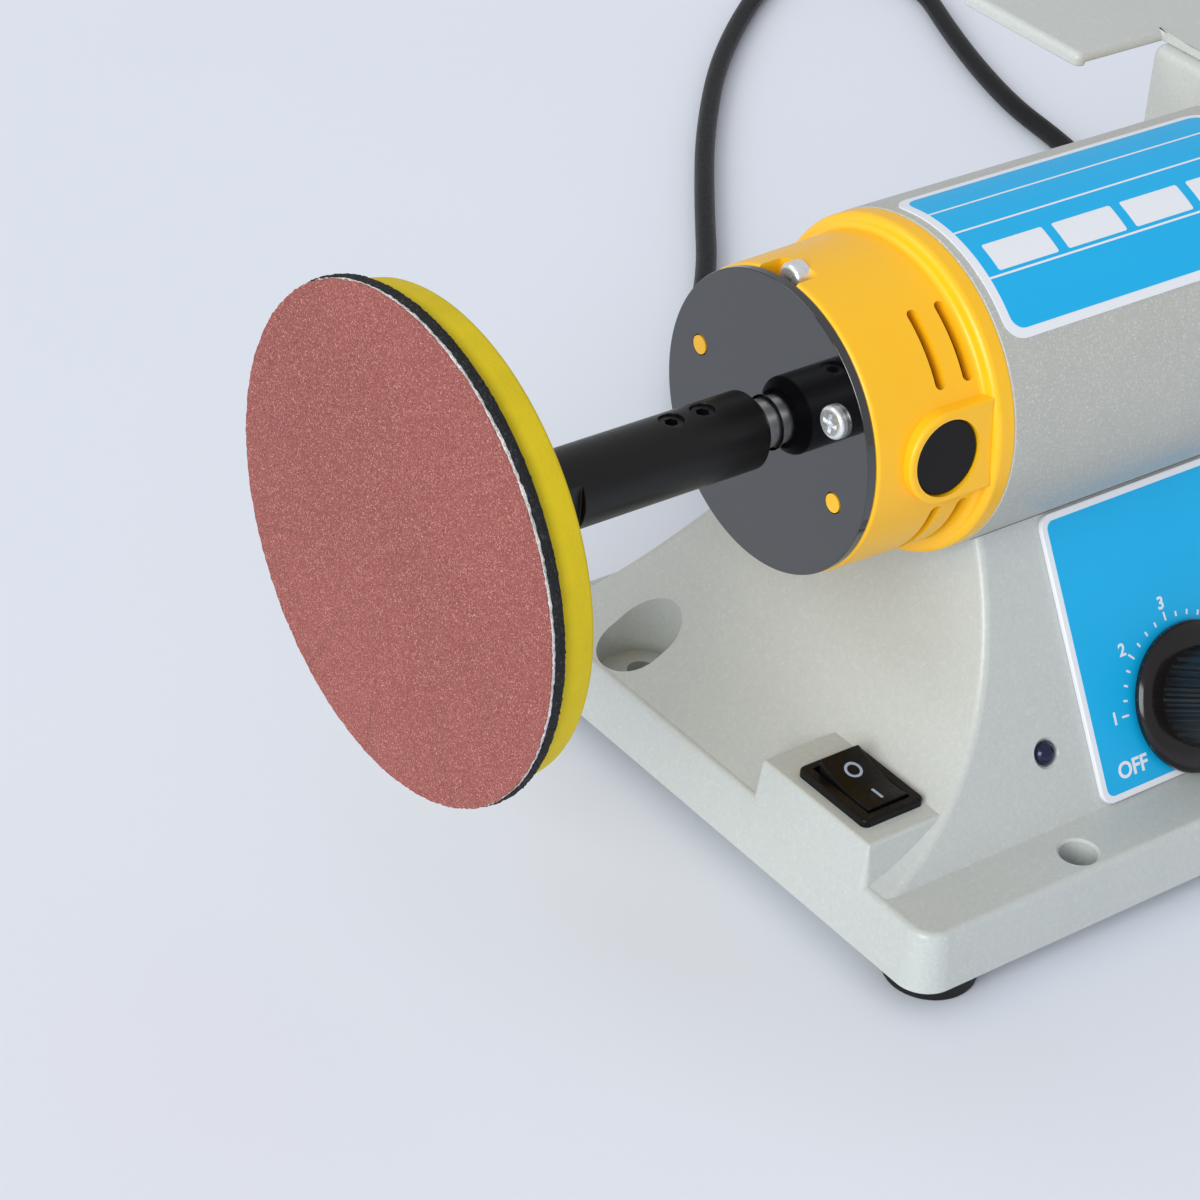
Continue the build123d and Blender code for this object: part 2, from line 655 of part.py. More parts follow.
with BuildPart() as heat_sink:
    with Locations((BOARD_CENTRE[0] + 20, BOARD_CENTRE[1] + 4, BOARD_Z + BOARD_T)):
        Box(3, 26, SINK_H, align=UP)
    for step in range(6):
        with Locations((BOARD_CENTRE[0] + 24, BOARD_CENTRE[1] - 8.2 + step * 4.9, BOARD_Z + BOARD_T)):
            Box(7, 1.5, SINK_H, align=UP)
heat_sink.part.label = "heat_sink"
export_step(heat_sink.part, "parts/heat_sink.step")

# Motor body
STATOR_R = 32.3
YOKE_R = 27.5
POLE_R = 19.6
POLE_W = 22.0
SHOE_R = 22.2
SHOE_ARC = 104.0
COIL_IN = 22.6
COIL_OUT = 27.2
FIELD_ARC = 120.0
FIELD_ENDS = (-36.0, 28.0)
LABEL_T = 0.25
LABEL_X = (-45.6, 38.4)
LABEL_A = (37.5, 107.0)

with BuildPart() as motor_barrel:
    add(
        turned(
            [
                (-BARREL_HALF, BARREL_BORE_R),
                (-BARREL_HALF, BARREL_R - BARREL_CHAMFER),
                (-BARREL_HALF + BARREL_CHAMFER, BARREL_R),
                (BARREL_HALF - BARREL_CHAMFER, BARREL_R),
                (BARREL_HALF, BARREL_R - BARREL_CHAMFER),
                (BARREL_HALF, BARREL_BORE_R),
            ]
        )
    )
    for side in (-1, 1):
        with Locations((side * SADDLE_SCREW_X, 0, AXIS_Z - BARREL_R - 1)):
            Cylinder(SADDLE_SCREW_R + FIT, 6, align=UP, mode=Mode.SUBTRACT)
motor_barrel.part.label = "motor_barrel"
export_step(motor_barrel.part, "parts/motor_barrel.step")

with BuildPart() as motor_label:
    with BuildSketch(half_plane(LABEL_A[1])):
        with Locations(((LABEL_X[0] + LABEL_X[1]) / 2, BARREL_R + LABEL_T / 2)):
            Rectangle(LABEL_X[1] - LABEL_X[0], LABEL_T)
    revolve(axis=SPIN_AXIS, revolution_arc=LABEL_A[1] - LABEL_A[0])
motor_label.part.label = "motor_label"
export_step(motor_label.part, "parts/motor_label.step")

with BuildPart() as saddle_screws:
    for side in (-1, 1):
        plane = Plane(
            origin=(side * SADDLE_SCREW_X, 0, AXIS_Z - BARREL_R - WALL),
            x_dir=(1, 0, 0),
            z_dir=(0, 0, -1),
        )
        with Locations(plane):
            add(pan_screw(head_r=3.5, head_h=2.4, shank_r=SADDLE_SCREW_R, shank_l=6.4, cross=4.4))
saddle_screws.part.label = "saddle_screws"
export_step(saddle_screws.part, "parts/saddle_screws.step")

with BuildPart() as stator_core:
    add(turned([(CORE_LEFT, YOKE_R), (CORE_LEFT, STATOR_R), (CORE_RIGHT, STATOR_R), (CORE_RIGHT, YOKE_R)]))
    for angle in (0, 180):
        with Locations(radial((CORE_LEFT + CORE_RIGHT) / 2, 24.5, angle)):
            Box(CORE_RIGHT - CORE_LEFT, POLE_W, 8)
        with BuildSketch(half_plane(angle + SHOE_ARC / 2)):
            with Locations(((CORE_LEFT + CORE_RIGHT) / 2, (POLE_R + SHOE_R) / 2)):
                Rectangle(CORE_RIGHT - CORE_LEFT, SHOE_R - POLE_R)
        revolve(axis=SPIN_AXIS, revolution_arc=SHOE_ARC)
    with Locations(axial(CORE_LEFT)):
        Cylinder(POLE_R, CORE_RIGHT - CORE_LEFT, align=UP, mode=Mode.SUBTRACT)
    for angle in BOLT_ANGLES:
        with Locations(across(CORE_LEFT, BOLT_PCR, angle)):
            Cylinder(BOLT_R + 0.7, CORE_RIGHT - CORE_LEFT, align=UP, mode=Mode.SUBTRACT)
stator_core.part.label = "stator_core"
export_step(stator_core.part, "parts/stator_core.step")

with BuildPart() as field_coils:
    for angle in (0, 180):
        with BuildSketch(half_plane(angle + FIELD_ARC / 2)):
            with Locations(((FIELD_ENDS[0] + FIELD_ENDS[1]) / 2, (COIL_IN + COIL_OUT) / 2)):
                Rectangle(FIELD_ENDS[1] - FIELD_ENDS[0], COIL_OUT - COIL_IN)
        revolve(axis=SPIN_AXIS, revolution_arc=FIELD_ARC)
        with Locations(radial((CORE_LEFT + CORE_RIGHT) / 2, 24.5, angle)):
            Box(CORE_RIGHT - CORE_LEFT + 0.8, POLE_W + 0.8, 12, mode=Mode.SUBTRACT)
field_coils.part.label = "field_coils"
export_step(field_coils.part, "parts/field_coils.step")

# Motor ends
CAP_PROFILE = [
    (CAP_FACE, CAP_BORE_R),
    (CAP_FACE, CAP_R),
    (RIM_START, CAP_ROOT_R),
    (RIM_START, RIM_R),
    (BARREL_HALF, RIM_R),
    (BARREL_HALF, 32.4),
    (44.0, 32.4),
    (44.0, 29.4),
    (75.5, 28.2),
    (75.5, SEAT_R),
    (67.5, SEAT_R),
    (67.5, BEARING_R + 0.02),
    (BEARING_FACE, BEARING_R + 0.02),
    (BEARING_FACE, CAP_BORE_R),
]
CAP_ROUNDS = [
    (CAP_FACE, CAP_R, 1.0),
    (RIM_START, CAP_ROOT_R, 1.2),
    (RIM_START, RIM_R, 1.5),
    (BARREL_HALF, RIM_R, 0.3),
]
LUG_W = 14.2
LUG_R = 9.0
BOSS_FOOT = 24.0
SLOT_FLOOR_R = 27.0
SCREW_ANGLES = (28.0, 208.0)
HOLE_ANGLES = (-17.0, 163.0)
BRUSH_ANGLES = (BRUSH_ANGLE, BRUSH_ANGLE + 180)
BRUSH_SEAT_R = BOSS_TOP - BRUSH_CAP_SUNK - BRUSH_CAP_T
HOLDER_R = 6.5
HOLDER_FOOT = 16.4
HOLDER_H = 15.0
BRUSH_W = 6.4
BRUSH_D = 8.0
BRUSH_L = 13.8
BRUSH_FOOT = 14.2
SPRING_R = 2.9
SPRING_BORE_R = 2.1
SPRING_H = 3.4


def bolt_lug(side, angle):
    """The block inside an end cap that carries a through-bolt."""
    with BuildPart() as lug:
        add(turned([(side * 49, 8), (side * 49, 31.7), (side * 77, 31.0), (side * 77, 8)]))
        with Locations(radial(side * 63, BOLT_PCR, angle)):
            Box(27, LUG_W, LUG_R, mode=Mode.INTERSECT)
    return lug.part


def brush_boss():
    """The raised seat of a brush cap, standing up from z 0, its straight end towards +X."""
    length = -RIM_START - BRUSH_X + 0.5
    with BuildPart() as boss:
        with BuildSketch():
            Circle(BOSS_R)
            with Locations((length / 2, 0)):
                Rectangle(length, 2 * BOSS_R)
        extrude(amount=BOSS_TOP - BOSS_FOOT)
        fillet(boss.edges().group_by(Axis.Z)[-1], 0.8)
    return boss.part


def end_cap(side):
    """An end cap with its bearing seat, vent slots, bolt lugs and notches; side is -1 or 1."""
    with BuildPart() as cap:
        add(turned([(side * d, r) for d, r in CAP_PROFILE]))
        for distance, radius, round_r in CAP_ROUNDS:
            on_edge = (side * distance, -radius, AXIS_Z)
            fillet(cap.edges().filter_by(GeomType.CIRCLE).sort_by_distance(on_edge)[0], round_r)
        for angle in BOLT_ANGLES:
            add(bolt_lug(side, angle))
            with BuildSketch(radial(side * (CAP_FACE - NOTCH_DEPTH + 6), NOTCH_FLOOR_R, angle)):
                RectangleRounded(12, NOTCH_W, 1.1)
            extrude(amount=10, mode=Mode.SUBTRACT)
            with Locations(across(side * 60, BOLT_PCR, angle)):
                Cylinder(BOLT_R + 0.2, 40, mode=Mode.SUBTRACT)
        for centre in BRUSH_ANGLES:
            for step in (-SLOT_SPREAD, SLOT_SPREAD):
                for distance in SLOT_X:
                    with BuildSketch(radial(side * distance, SLOT_FLOOR_R, centre + step)):
                        SlotOverall(SLOT_L, SLOT_W, rotation=90)
                    extrude(amount=10, mode=Mode.SUBTRACT)
        for angle in SCREW_ANGLES:
            with Locations(across(side * CAP_FACE, PLATE_PCR, angle)):
                Cylinder(PLATE_SCREW_R + FIT, 18, mode=Mode.SUBTRACT)
        # locating pins that fill the other two holes of the end plate
        for angle in HOLE_ANGLES:
            with Locations(across(side * CAP_FACE, PLATE_PCR, angle)):
                Cylinder(PLATE_PIN_R, 2 * (PLATE_FACE - CAP_FACE + 0.1))
    return cap.part


def end_plate(side):
    """The disc that closes an end cap."""
    with BuildPart() as plate:
        with BuildSketch(axial(side * CAP_FACE)):
            Circle(PLATE_R)
            Circle(PLATE_BORE_R, mode=Mode.SUBTRACT)
            for angle in SCREW_ANGLES:
                with Locations(polar_point(PLATE_PCR, angle)):
                    Circle(PLATE_SCREW_R + 2 * FIT, mode=Mode.SUBTRACT)
            for angle in HOLE_ANGLES:
                with Locations(polar_point(PLATE_PCR, angle)):
                    Circle(PLATE_HOLE_R, mode=Mode.SUBTRACT)
        extrude(amount=side * (PLATE_FACE - CAP_FACE))
    return plate.part


with BuildPart() as left_end_cap:
    add(end_cap(-1))
    for angle in BRUSH_ANGLES:
        with Locations(radial(BRUSH_X, BOSS_FOOT, angle)):
            add(brush_boss())
            Cylinder(HOLDER_R + 2 * FIT, 20, align=UP, mode=Mode.SUBTRACT)
        with Locations(radial(BRUSH_X, BRUSH_SEAT_R - 0.05, angle)):
            Cylinder(BRUSH_CAP_R + 0.2, 10, align=UP, mode=Mode.SUBTRACT)
left_end_cap.part.label = "left_end_cap"
export_step(left_end_cap.part, "parts/left_end_cap.step")

with BuildPart() as right_end_cap:
    add(end_cap(1))
right_end_cap.part.label = "right_end_cap"
export_step(right_end_cap.part, "parts/right_end_cap.step")

with BuildPart() as left_end_plate:
    add(end_plate(-1))
left_end_plate.part.label = "left_end_plate"
export_step(left_end_plate.part, "parts/left_end_plate.step")

with BuildPart() as right_end_plate:
    add(end_plate(1))
right_end_plate.part.label = "right_end_plate"
export_step(right_end_plate.part, "parts/right_end_plate.step")

with BuildPart() as plate_screws:
    for side in (-1, 1):
        for angle in SCREW_ANGLES:
            local_y, local_z = polar_point(PLATE_PCR, angle)
            plane = Plane(
                origin=(side * PLATE_FACE, local_y, AXIS_Z + local_z),
                x_dir=(0, 1, 0),
                z_dir=(side, 0, 0),
            )
            with Locations(plane):
                add(pan_screw(head_r=3.4, head_h=1.6, shank_r=PLATE_SCREW_R, shank_l=9.0, cross=4.0))
plate_screws.part.label = "plate_screws"
export_step(plate_screws.part, "parts/plate_screws.step")

with BuildPart() as through_bolts:
    seat = CAP_FACE - NOTCH_DEPTH
    for angle in BOLT_ANGLES:
        with Locations(across(-seat, BOLT_PCR, angle)):
            Cylinder(BOLT_R, 2 * seat + 4, align=UP)
        with Locations(across(-seat, BOLT_PCR, angle)):
            Cylinder(BOLT_HEAD_R, BOLT_HEAD_H, align=DOWN)
        with BuildSketch(across(seat, BOLT_PCR, angle)):
            RegularPolygon(BOLT_NUT_R, 6)
        extrude(amount=BOLT_NUT_H)
    fillet(through_bolts.edges().group_by(Axis.X)[0], BOLT_HEAD_ROUND)
    for angle in BOLT_ANGLES:
        with Locations(across(-seat - BOLT_HEAD_H, BOLT_PCR, angle)):
            Box(BOLT_SLOT_DEPTH, BOLT_SLOT_W, 2 * BOLT_HEAD_R, mode=Mode.SUBTRACT)
through_bolts.part.label = "through_bolts"
export_step(through_bolts.part, "parts/through_bolts.step")

# Brush gear, two sets facing each other across the commutator
with BuildPart() as brush_caps:
    for angle in BRUSH_ANGLES:
        with Locations(radial(BRUSH_X, BRUSH_SEAT_R, angle)):
            Cylinder(BRUSH_CAP_R, BRUSH_CAP_T, align=UP)
    tops = brush_caps.edges().filter_by(GeomType.CIRCLE).group_by(lambda e: abs(e.center().Y))[-1]
    fillet(tops, 0.4)
brush_caps.part.label = "brush_caps"
export_step(brush_caps.part, "parts/brush_caps.step")

with BuildPart() as brush_holders:
    for angle in BRUSH_ANGLES:
        with Locations(radial(BRUSH_X, HOLDER_FOOT, angle)):
            Cylinder(HOLDER_R, HOLDER_H, align=UP)
            Box(BRUSH_W + 0.3, BRUSH_D + 0.3, 3 * HOLDER_H, mode=Mode.SUBTRACT)
brush_holders.part.label = "brush_holders"
export_step(brush_holders.part, "parts/brush_holders.step")

with BuildPart() as carbon_brushes:
    for angle in BRUSH_ANGLES:
        with Locations(radial(BRUSH_X, BRUSH_FOOT, angle)):
            Box(BRUSH_W, BRUSH_D, BRUSH_L, align=UP)
carbon_brushes.part.label = "carbon_brushes"
export_step(carbon_brushes.part, "parts/carbon_brushes.step")

with BuildPart() as brush_springs:
    for angle in BRUSH_ANGLES:
        with Locations(radial(BRUSH_X, BRUSH_FOOT + BRUSH_L, angle)):
            Cylinder(SPRING_R, SPRING_H, align=UP)
            Cylinder(SPRING_BORE_R, SPRING_H, align=UP, mode=Mode.SUBTRACT)
brush_springs.part.label = "brush_springs"
export_step(brush_springs.part, "parts/brush_springs.step")

# Bearings
INNER_R = 7.2
SHIELD_R = 7.6


def ring(side, outer_r, inner_r):
    """One race of a bearing, as a plain ring."""
    start = side * (BEARING_FACE - BEARING_T)
    stop = side * BEARING_FACE
    return turned([(start, inner_r), (start, outer_r), (stop, outer_r), (stop, inner_r)])


with BuildPart() as bearing_outer_rings:
    add(ring(-1, BEARING_R, SHIELD_R))
    add(ring(1, BEARING_R, SHIELD_R))
bearing_outer_rings.part.label = "bearing_outer_rings"
export_step(bearing_outer_rings.part, "parts/bearing_outer_rings.step")

with BuildPart() as bearing_inner_rings:
    add(ring(-1, INNER_R, SHAFT_R))
    add(ring(1, INNER_R, SHAFT_R))
bearing_inner_rings.part.label = "bearing_inner_rings"
export_step(bearing_inner_rings.part, "parts/bearing_inner_rings.step")

# Turning parts of the motor
SLOTS = 12
BARS = 24
FAN_X = (50.0, 61.0)
FAN_R = 23.5
FAN_HUB_R = 9.0
BLADES = 9
BELL_R = 17.0
WINDING_R = SHAFT_MID_R + 0.2

with BuildPart() as motor_shaft:
    add(
        turned(
            [
                (SHAFT_LEFT, 0),
                (SHAFT_LEFT, SHAFT_R - 0.5),
                (SHAFT_LEFT + 0.5, SHAFT_R),
                (-SHAFT_STEP, SHAFT_R),
                (-SHAFT_STEP, SHAFT_MID_R),
                (SHAFT_STEP, SHAFT_MID_R),
                (SHAFT_STEP, SHAFT_R),
                (STUB_START - GROOVE_W, SHAFT_R),
                (STUB_START - GROOVE_W, SHAFT_R - GROOVE_DEPTH),
                (STUB_START, SHAFT_R - GROOVE_DEPTH),
                (STUB_START, SHAFT_R),
                (SHAFT_RIGHT - 0.5, SHAFT_R),
                (SHAFT_RIGHT, SHAFT_R - 0.5),
                (SHAFT_RIGHT, 0),
            ]
        )
    )
motor_shaft.part.label = "motor_shaft"
export_step(motor_shaft.part, "parts/motor_shaft.step")

with BuildPart() as armature_core:
    with BuildSketch(axial(CORE_LEFT)):
        Circle(CORE_R)
        Circle(SHAFT_MID_R, mode=Mode.SUBTRACT)
        with PolarLocations(14.4, SLOTS):
            Rectangle(10, 3.6, mode=Mode.SUBTRACT)
    extrude(amount=CORE_RIGHT - CORE_LEFT)
armature_core.part.label = "armature_core"
export_step(armature_core.part, "parts/armature_core.step")

with BuildPart() as armature_winding:
    add(
        turned(
            [
                (-50, WINDING_R),
                (-50, 12),
                (-46, 16),
                (-42, BELL_R),
                (CORE_LEFT, BELL_R),
                (CORE_LEFT, WINDING_R),
            ]
        )
    )
    add(turned([(CORE_RIGHT, WINDING_R), (CORE_RIGHT, BELL_R), (34, BELL_R), (38, 14), (38, WINDING_R)]))
    with BuildSketch(axial(CORE_LEFT - 1)):
        with PolarLocations(13.8, SLOTS):
            Rectangle(8, 3.2)
    extrude(amount=CORE_RIGHT - CORE_LEFT + 2)
armature_winding.part.label = "armature_winding"
export_step(armature_winding.part, "parts/armature_winding.step")

with BuildPart() as commutator:
    with BuildSketch(axial(COMM_X[0])):
        Circle(COMM_R)
        Circle(SHAFT_MID_R, mode=Mode.SUBTRACT)
        with PolarLocations(COMM_R, BARS):
            Rectangle(1.6, 0.5, mode=Mode.SUBTRACT)
    extrude(amount=COMM_X[1] - COMM_X[0])
commutator.part.label = "commutator"
export_step(commutator.part, "parts/commutator.step")

with BuildPart() as cooling_fan:
    add(
        turned(
            [
                (FAN_X[0], SHAFT_MID_R),
                (FAN_X[0], FAN_R),
                (FAN_X[0] + 1.6, FAN_R),
                (FAN_X[0] + 1.6, FAN_HUB_R),
                (FAN_X[1], FAN_HUB_R),
                (FAN_X[1], SHAFT_MID_R),
            ]
        )
    )
    for blade in range(BLADES):
        with Locations(radial((FAN_X[0] + FAN_X[1]) / 2 + 0.5, 16, blade * 360 / BLADES)):
            Box(10, 1.4, 15)
cooling_fan.part.label = "cooling_fan"
export_step(cooling_fan.part, "parts/cooling_fan.step")

# Left spindle: rod, pad and disc
ROD_BORE_R = SHAFT_R + 0.03
ROD_BORE_END = SHAFT_LEFT - 2.0
INSERT_R = 9.0
PAD_R = 48.3
PAD_BACK_R = 47.4
HOOK_R = 50.4
SET_SCREW_L = 2.2

with BuildPart() as adaptor_rod:
    add(
        turned(
            [
                (ROD_LEFT - STUD_L, 0),
                (ROD_LEFT - STUD_L, STUD_R),
                (ROD_LEFT, STUD_R),
                (ROD_LEFT, ROD_R),
                (ROD_RIGHT - ROD_CHAMFER, ROD_R),
                (ROD_RIGHT, ROD_R - ROD_CHAMFER),
                (ROD_RIGHT, ROD_BORE_R),
                (ROD_BORE_END, ROD_BORE_R),
                (ROD_BORE_END, 0),
            ]
        )
    )
    for angle in (0, 180):
        with Locations(radial((ROD_FLAT[0] + ROD_FLAT[1]) / 2, ROD_R - ROD_FLAT_DEPTH, angle)):
            Box(ROD_FLAT[1] - ROD_FLAT[0], 20, 5, align=UP, mode=Mode.SUBTRACT)
    for x in SET_SCREW_X:
        with Locations(radial(x, SHAFT_R, 90)):
            Cylinder(SET_SCREW_R, 6, align=UP, mode=Mode.SUBTRACT)
adaptor_rod.part.label = "adaptor_rod"
export_step(adaptor_rod.part, "parts/adaptor_rod.step")

with BuildPart() as set_screws:
    for x in SET_SCREW_X:
        with Locations(radial(x, SHAFT_R, 90)):
            Cylinder(SET_SCREW_R - 0.02, SET_SCREW_L, align=UP)
        with BuildSketch(radial(x, SHAFT_R + SET_SCREW_L, 90)):
            RegularPolygon(1.44, 6)
        extrude(amount=-1.4, mode=Mode.SUBTRACT)
set_screws.part.label = "set_screws"
export_step(set_screws.part, "parts/set_screws.step")

with BuildPart() as pad_insert:
    add(
        turned(
            [
                (ROD_LEFT - 7, 0),
                (ROD_LEFT - 7, INSERT_R),
                (ROD_LEFT, INSERT_R),
                (ROD_LEFT, STUD_R + 0.03),
                (ROD_LEFT - STUD_L - 0.1, STUD_R + 0.03),
                (ROD_LEFT - STUD_L - 0.1, 0),
            ]
        )
    )
pad_insert.part.label = "pad_insert"
export_step(pad_insert.part, "parts/pad_insert.step")

with BuildPart() as backing_pad:
    add(
        turned(
            [
                (PAD_FRONT, 0),
                (PAD_FRONT, PAD_R),
                (PAD_FRONT + 3.5, PAD_R),
                (ROD_LEFT, PAD_BACK_R),
                (ROD_LEFT, INSERT_R),
                (ROD_LEFT - 7, INSERT_R),
                (ROD_LEFT - 7, 0),
            ]
        )
    )
backing_pad.part.label = "backing_pad"
export_step(backing_pad.part, "parts/backing_pad.step")

with BuildPart() as hook_layer:
    with Locations(axial(DISC_FACE + DISC_T)):
        Cylinder(HOOK_R, HOOK_T, align=UP)
hook_layer.part.label = "hook_layer"
export_step(hook_layer.part, "parts/hook_layer.step")

with BuildPart() as sanding_disc:
    with Locations(axial(DISC_FACE)):
        Cylinder(DISC_R, DISC_T, align=UP)
sanding_disc.part.label = "sanding_disc"
export_step(sanding_disc.part, "parts/sanding_disc.step")

# Work rest on the right end
REST_UNDER = REST_TOP - REST_TABLE_T
REST_FLANGE_X = 106.0
REST_BOTTOM = 5.6
TABLE_SCREW_R = 2.0
TABLE_SCREW_X = 100.0
TABLE_SCREW_Y = (32.0, 60.0)
BRACKET_BACK = 70.0
REST_HEAD_R = 4.6
REST_HEAD_H = 3.4

with BuildPart() as rest_bracket:
    with BuildSketch(Plane.XZ.offset(-REST_FRONT_Y)):
        with BuildLine():
            Polyline(
                (REST_WALL_X, REST_BOTTOM),
                (REST_WALL_X + REST_SHEET, REST_BOTTOM),
                (REST_WALL_X + REST_SHEET, REST_UNDER - REST_SHEET),
                (REST_FLANGE_X, REST_UNDER - REST_SHEET),
                (REST_FLANGE_X, REST_UNDER),
                (REST_WALL_X, REST_UNDER),
                close=True,
            )
        make_face()
    extrude(amount=-(BRACKET_BACK - REST_FRONT_Y))
    fillet(rest_bracket.edges().filter_by(Axis.Y).sort_by_distance((REST_WALL_X, 40, REST_UNDER))[0], 2.5)
    for y in REST_BOLT_Y:
        with Locations(Plane(origin=(REST_WALL_X, y, REST_BOLT_Z), z_dir=(1, 0, 0))):
            Cylinder(REST_BOLT_R + 2 * FIT, 10, mode=Mode.SUBTRACT)
    for y in TABLE_SCREW_Y:
        with Locations((TABLE_SCREW_X, y, REST_UNDER)):
            Cylinder(TABLE_SCREW_R + 2 * FIT, 10, mode=Mode.SUBTRACT)
rest_bracket.part.label = "rest_bracket"
export_step(rest_bracket.part, "parts/rest_bracket.step")

with BuildPart() as rest_table:
    with BuildSketch(Plane.XY.offset(REST_UNDER)):
        with BuildLine():
            Polyline(
                (REST_WALL_X + REST_SHEET, REST_FRONT_Y),
                (REST_RIGHT_X, REST_FRONT_Y),
                (REST_RIGHT_X, REST_BACK_Y),
                (REST_WING_X, REST_BACK_Y),
                (REST_WING_X, REST_WING_Y),
                (REST_WALL_X + REST_SHEET, REST_WING_Y),
                close=True,
            )
        make_face()
    extrude(amount=REST_TABLE_T)
    with Locations((REST_WING_X, (REST_WING_Y + REST_BACK_Y) / 2, REST_TOP)):
        Box(
            REST_TABLE_T,
            REST_BACK_Y - REST_WING_Y,
            REST_LIP,
            align=(Align.MIN, Align.CENTER, Align.MAX),
        )
    corner = rest_table.edges().filter_by(Axis.Z).sort_by_distance((REST_WING_X, REST_WING_Y, REST_TOP))
    fillet(corner[0], 2.0)
    crease = rest_table.edges().filter_by(Axis.Y).sort_by_distance((REST_WING_X, 90, REST_TOP))
    fillet(crease[0], 1.8)
    for y in TABLE_SCREW_Y:
        with Locations((TABLE_SCREW_X, y, REST_UNDER)):
            Cylinder(TABLE_SCREW_R + 2 * FIT, 10, mode=Mode.SUBTRACT)
rest_table.part.label = "rest_table"
export_step(rest_table.part, "parts/rest_table.step")

with BuildPart() as rest_bolts:
    for y in REST_BOLT_Y:
        plane = Plane(origin=(REST_WALL_X + REST_SHEET, y, REST_BOLT_Z), z_dir=(1, 0, 0))
        with Locations(plane):
            Cylinder(REST_BOLT_R, 11.5, align=DOWN)
        with BuildSketch(plane):
            RegularPolygon(REST_HEAD_R, 6)
        extrude(amount=REST_HEAD_H)
    for y in TABLE_SCREW_Y:
        with Locations((TABLE_SCREW_X, y, REST_TOP)):
            add(pan_screw(head_r=3.6, head_h=2.0, shank_r=TABLE_SCREW_R, shank_l=8.0, cross=4.4))
rest_bolts.part.label = "rest_bolts"
export_step(rest_bolts.part, "parts/rest_bolts.step")

# Mains cord with its strain relief, coil, tie and plug
BEND_SHARE = 0.45
COIL_TOP_Z = COIL_Z + COIL_PITCH
HALF_TURNS = COIL_TURNS / 2
CLIMB = (2.0, 2.5)
TIE_W = 5.0
TIE_T = 1.2
TIE_GAP = 0.2
PLUG_NECK = 16.0
PLUG_SIZE = (36.0, 27.0, 14.0)
PIN_L = 19.0


def bend_radii(points):
    """A radius for each inner corner of a route, set by the shorter of its two runs."""
    radii = []
    for before, here, after in zip(points[:-2], points[1:-1], points[2:]):
        run_in = Vector(*here) - Vector(*before)
        run_out = Vector(*after) - Vector(*here)
        half_turn = radians(run_in.get_angle(run_out)) / 2
        radii.append(BEND_SHARE * min(run_in.length, run_out.length) / tan(half_turn))
    return radii


def cord_along(points):
    """A round cord along a route of points with rounded corners."""
    start = Vector(*points[0])
    heading = Vector(*points[1]) - start
    with BuildPart() as cord:
        with BuildLine() as route:
            FilletPolyline(*points, radius=bend_radii(points))
        with BuildSketch(Plane(origin=start, z_dir=heading)):
            Circle(CORD_D / 2)
        sweep(path=route.wires()[0])
    return cord.part


def coil_point(turn):
    """The cord's middle line in the coil: inwards on the floor, then outwards on top."""
    if turn < HALF_TURNS:
        radius = COIL_R - COIL_PITCH * turn
    else:
        radius = COIL_R - COIL_PITCH * (COIL_TURNS - turn)
    share = min(max((turn - CLIMB[0]) / (CLIMB[1] - CLIMB[0]), 0), 1)
    height = COIL_Z + COIL_PITCH * share * share * (3 - 2 * share)
    angle = radians(90) + 2 * pi * turn
    return Vector(
        COIL_CENTRE[0] + radius * cos(angle),
        COIL_CENTRE[1] + radius * sin(angle),
        height,
    )


def coil_heading(turn):
    """The direction of the coil's middle line."""
    step = 0.002
    if turn < step:
        return Vector(-1, 0, 0)
    if turn > COIL_TURNS - step:
        return Vector(1, 0, 0)
    return (coil_point(turn + step) - coil_point(turn - step)).normalized()


with BuildPart() as strain_relief:
    with Locations(Plane(origin=(0, 58, EXIT_Z), z_dir=(0, 1, 0))):
        Cylinder(4.5, 12.5, align=UP)
    with Locations(Plane(origin=(0, 70.0, EXIT_Z), z_dir=(0, 1, 0))):
        Cylinder(6.2, 2.0, align=UP)
    with Locations(Plane(origin=(0, 72.0, EXIT_Z), z_dir=(0, 1, 0))):
        Cone(5.2, 3.8, BOOT_END - 72.0, align=UP)
    for step in range(5):
        with Locations(Plane(origin=(0, 75 + 3.6 * step, EXIT_Z), z_dir=(0, 1, 0))):
            Cylinder(8, 1.2, align=UP, mode=Mode.SUBTRACT)
            Cylinder(3.5, 1.2, align=UP)
    with Locations(Plane(origin=(0, 87.5, EXIT_Z), z_dir=(0, 1, 0))):
        Cylinder(CORD_D / 2 + 0.1, 20, align=UP, mode=Mode.SUBTRACT)
strain_relief.part.label = "strain_relief"
export_step(strain_relief.part, "parts/strain_relief.step")

with BuildPart() as cord_run:
    add(cord_along(CORD_RUN))
cord_run.part.label = "cord_run"
export_step(cord_run.part, "parts/cord_run.step")

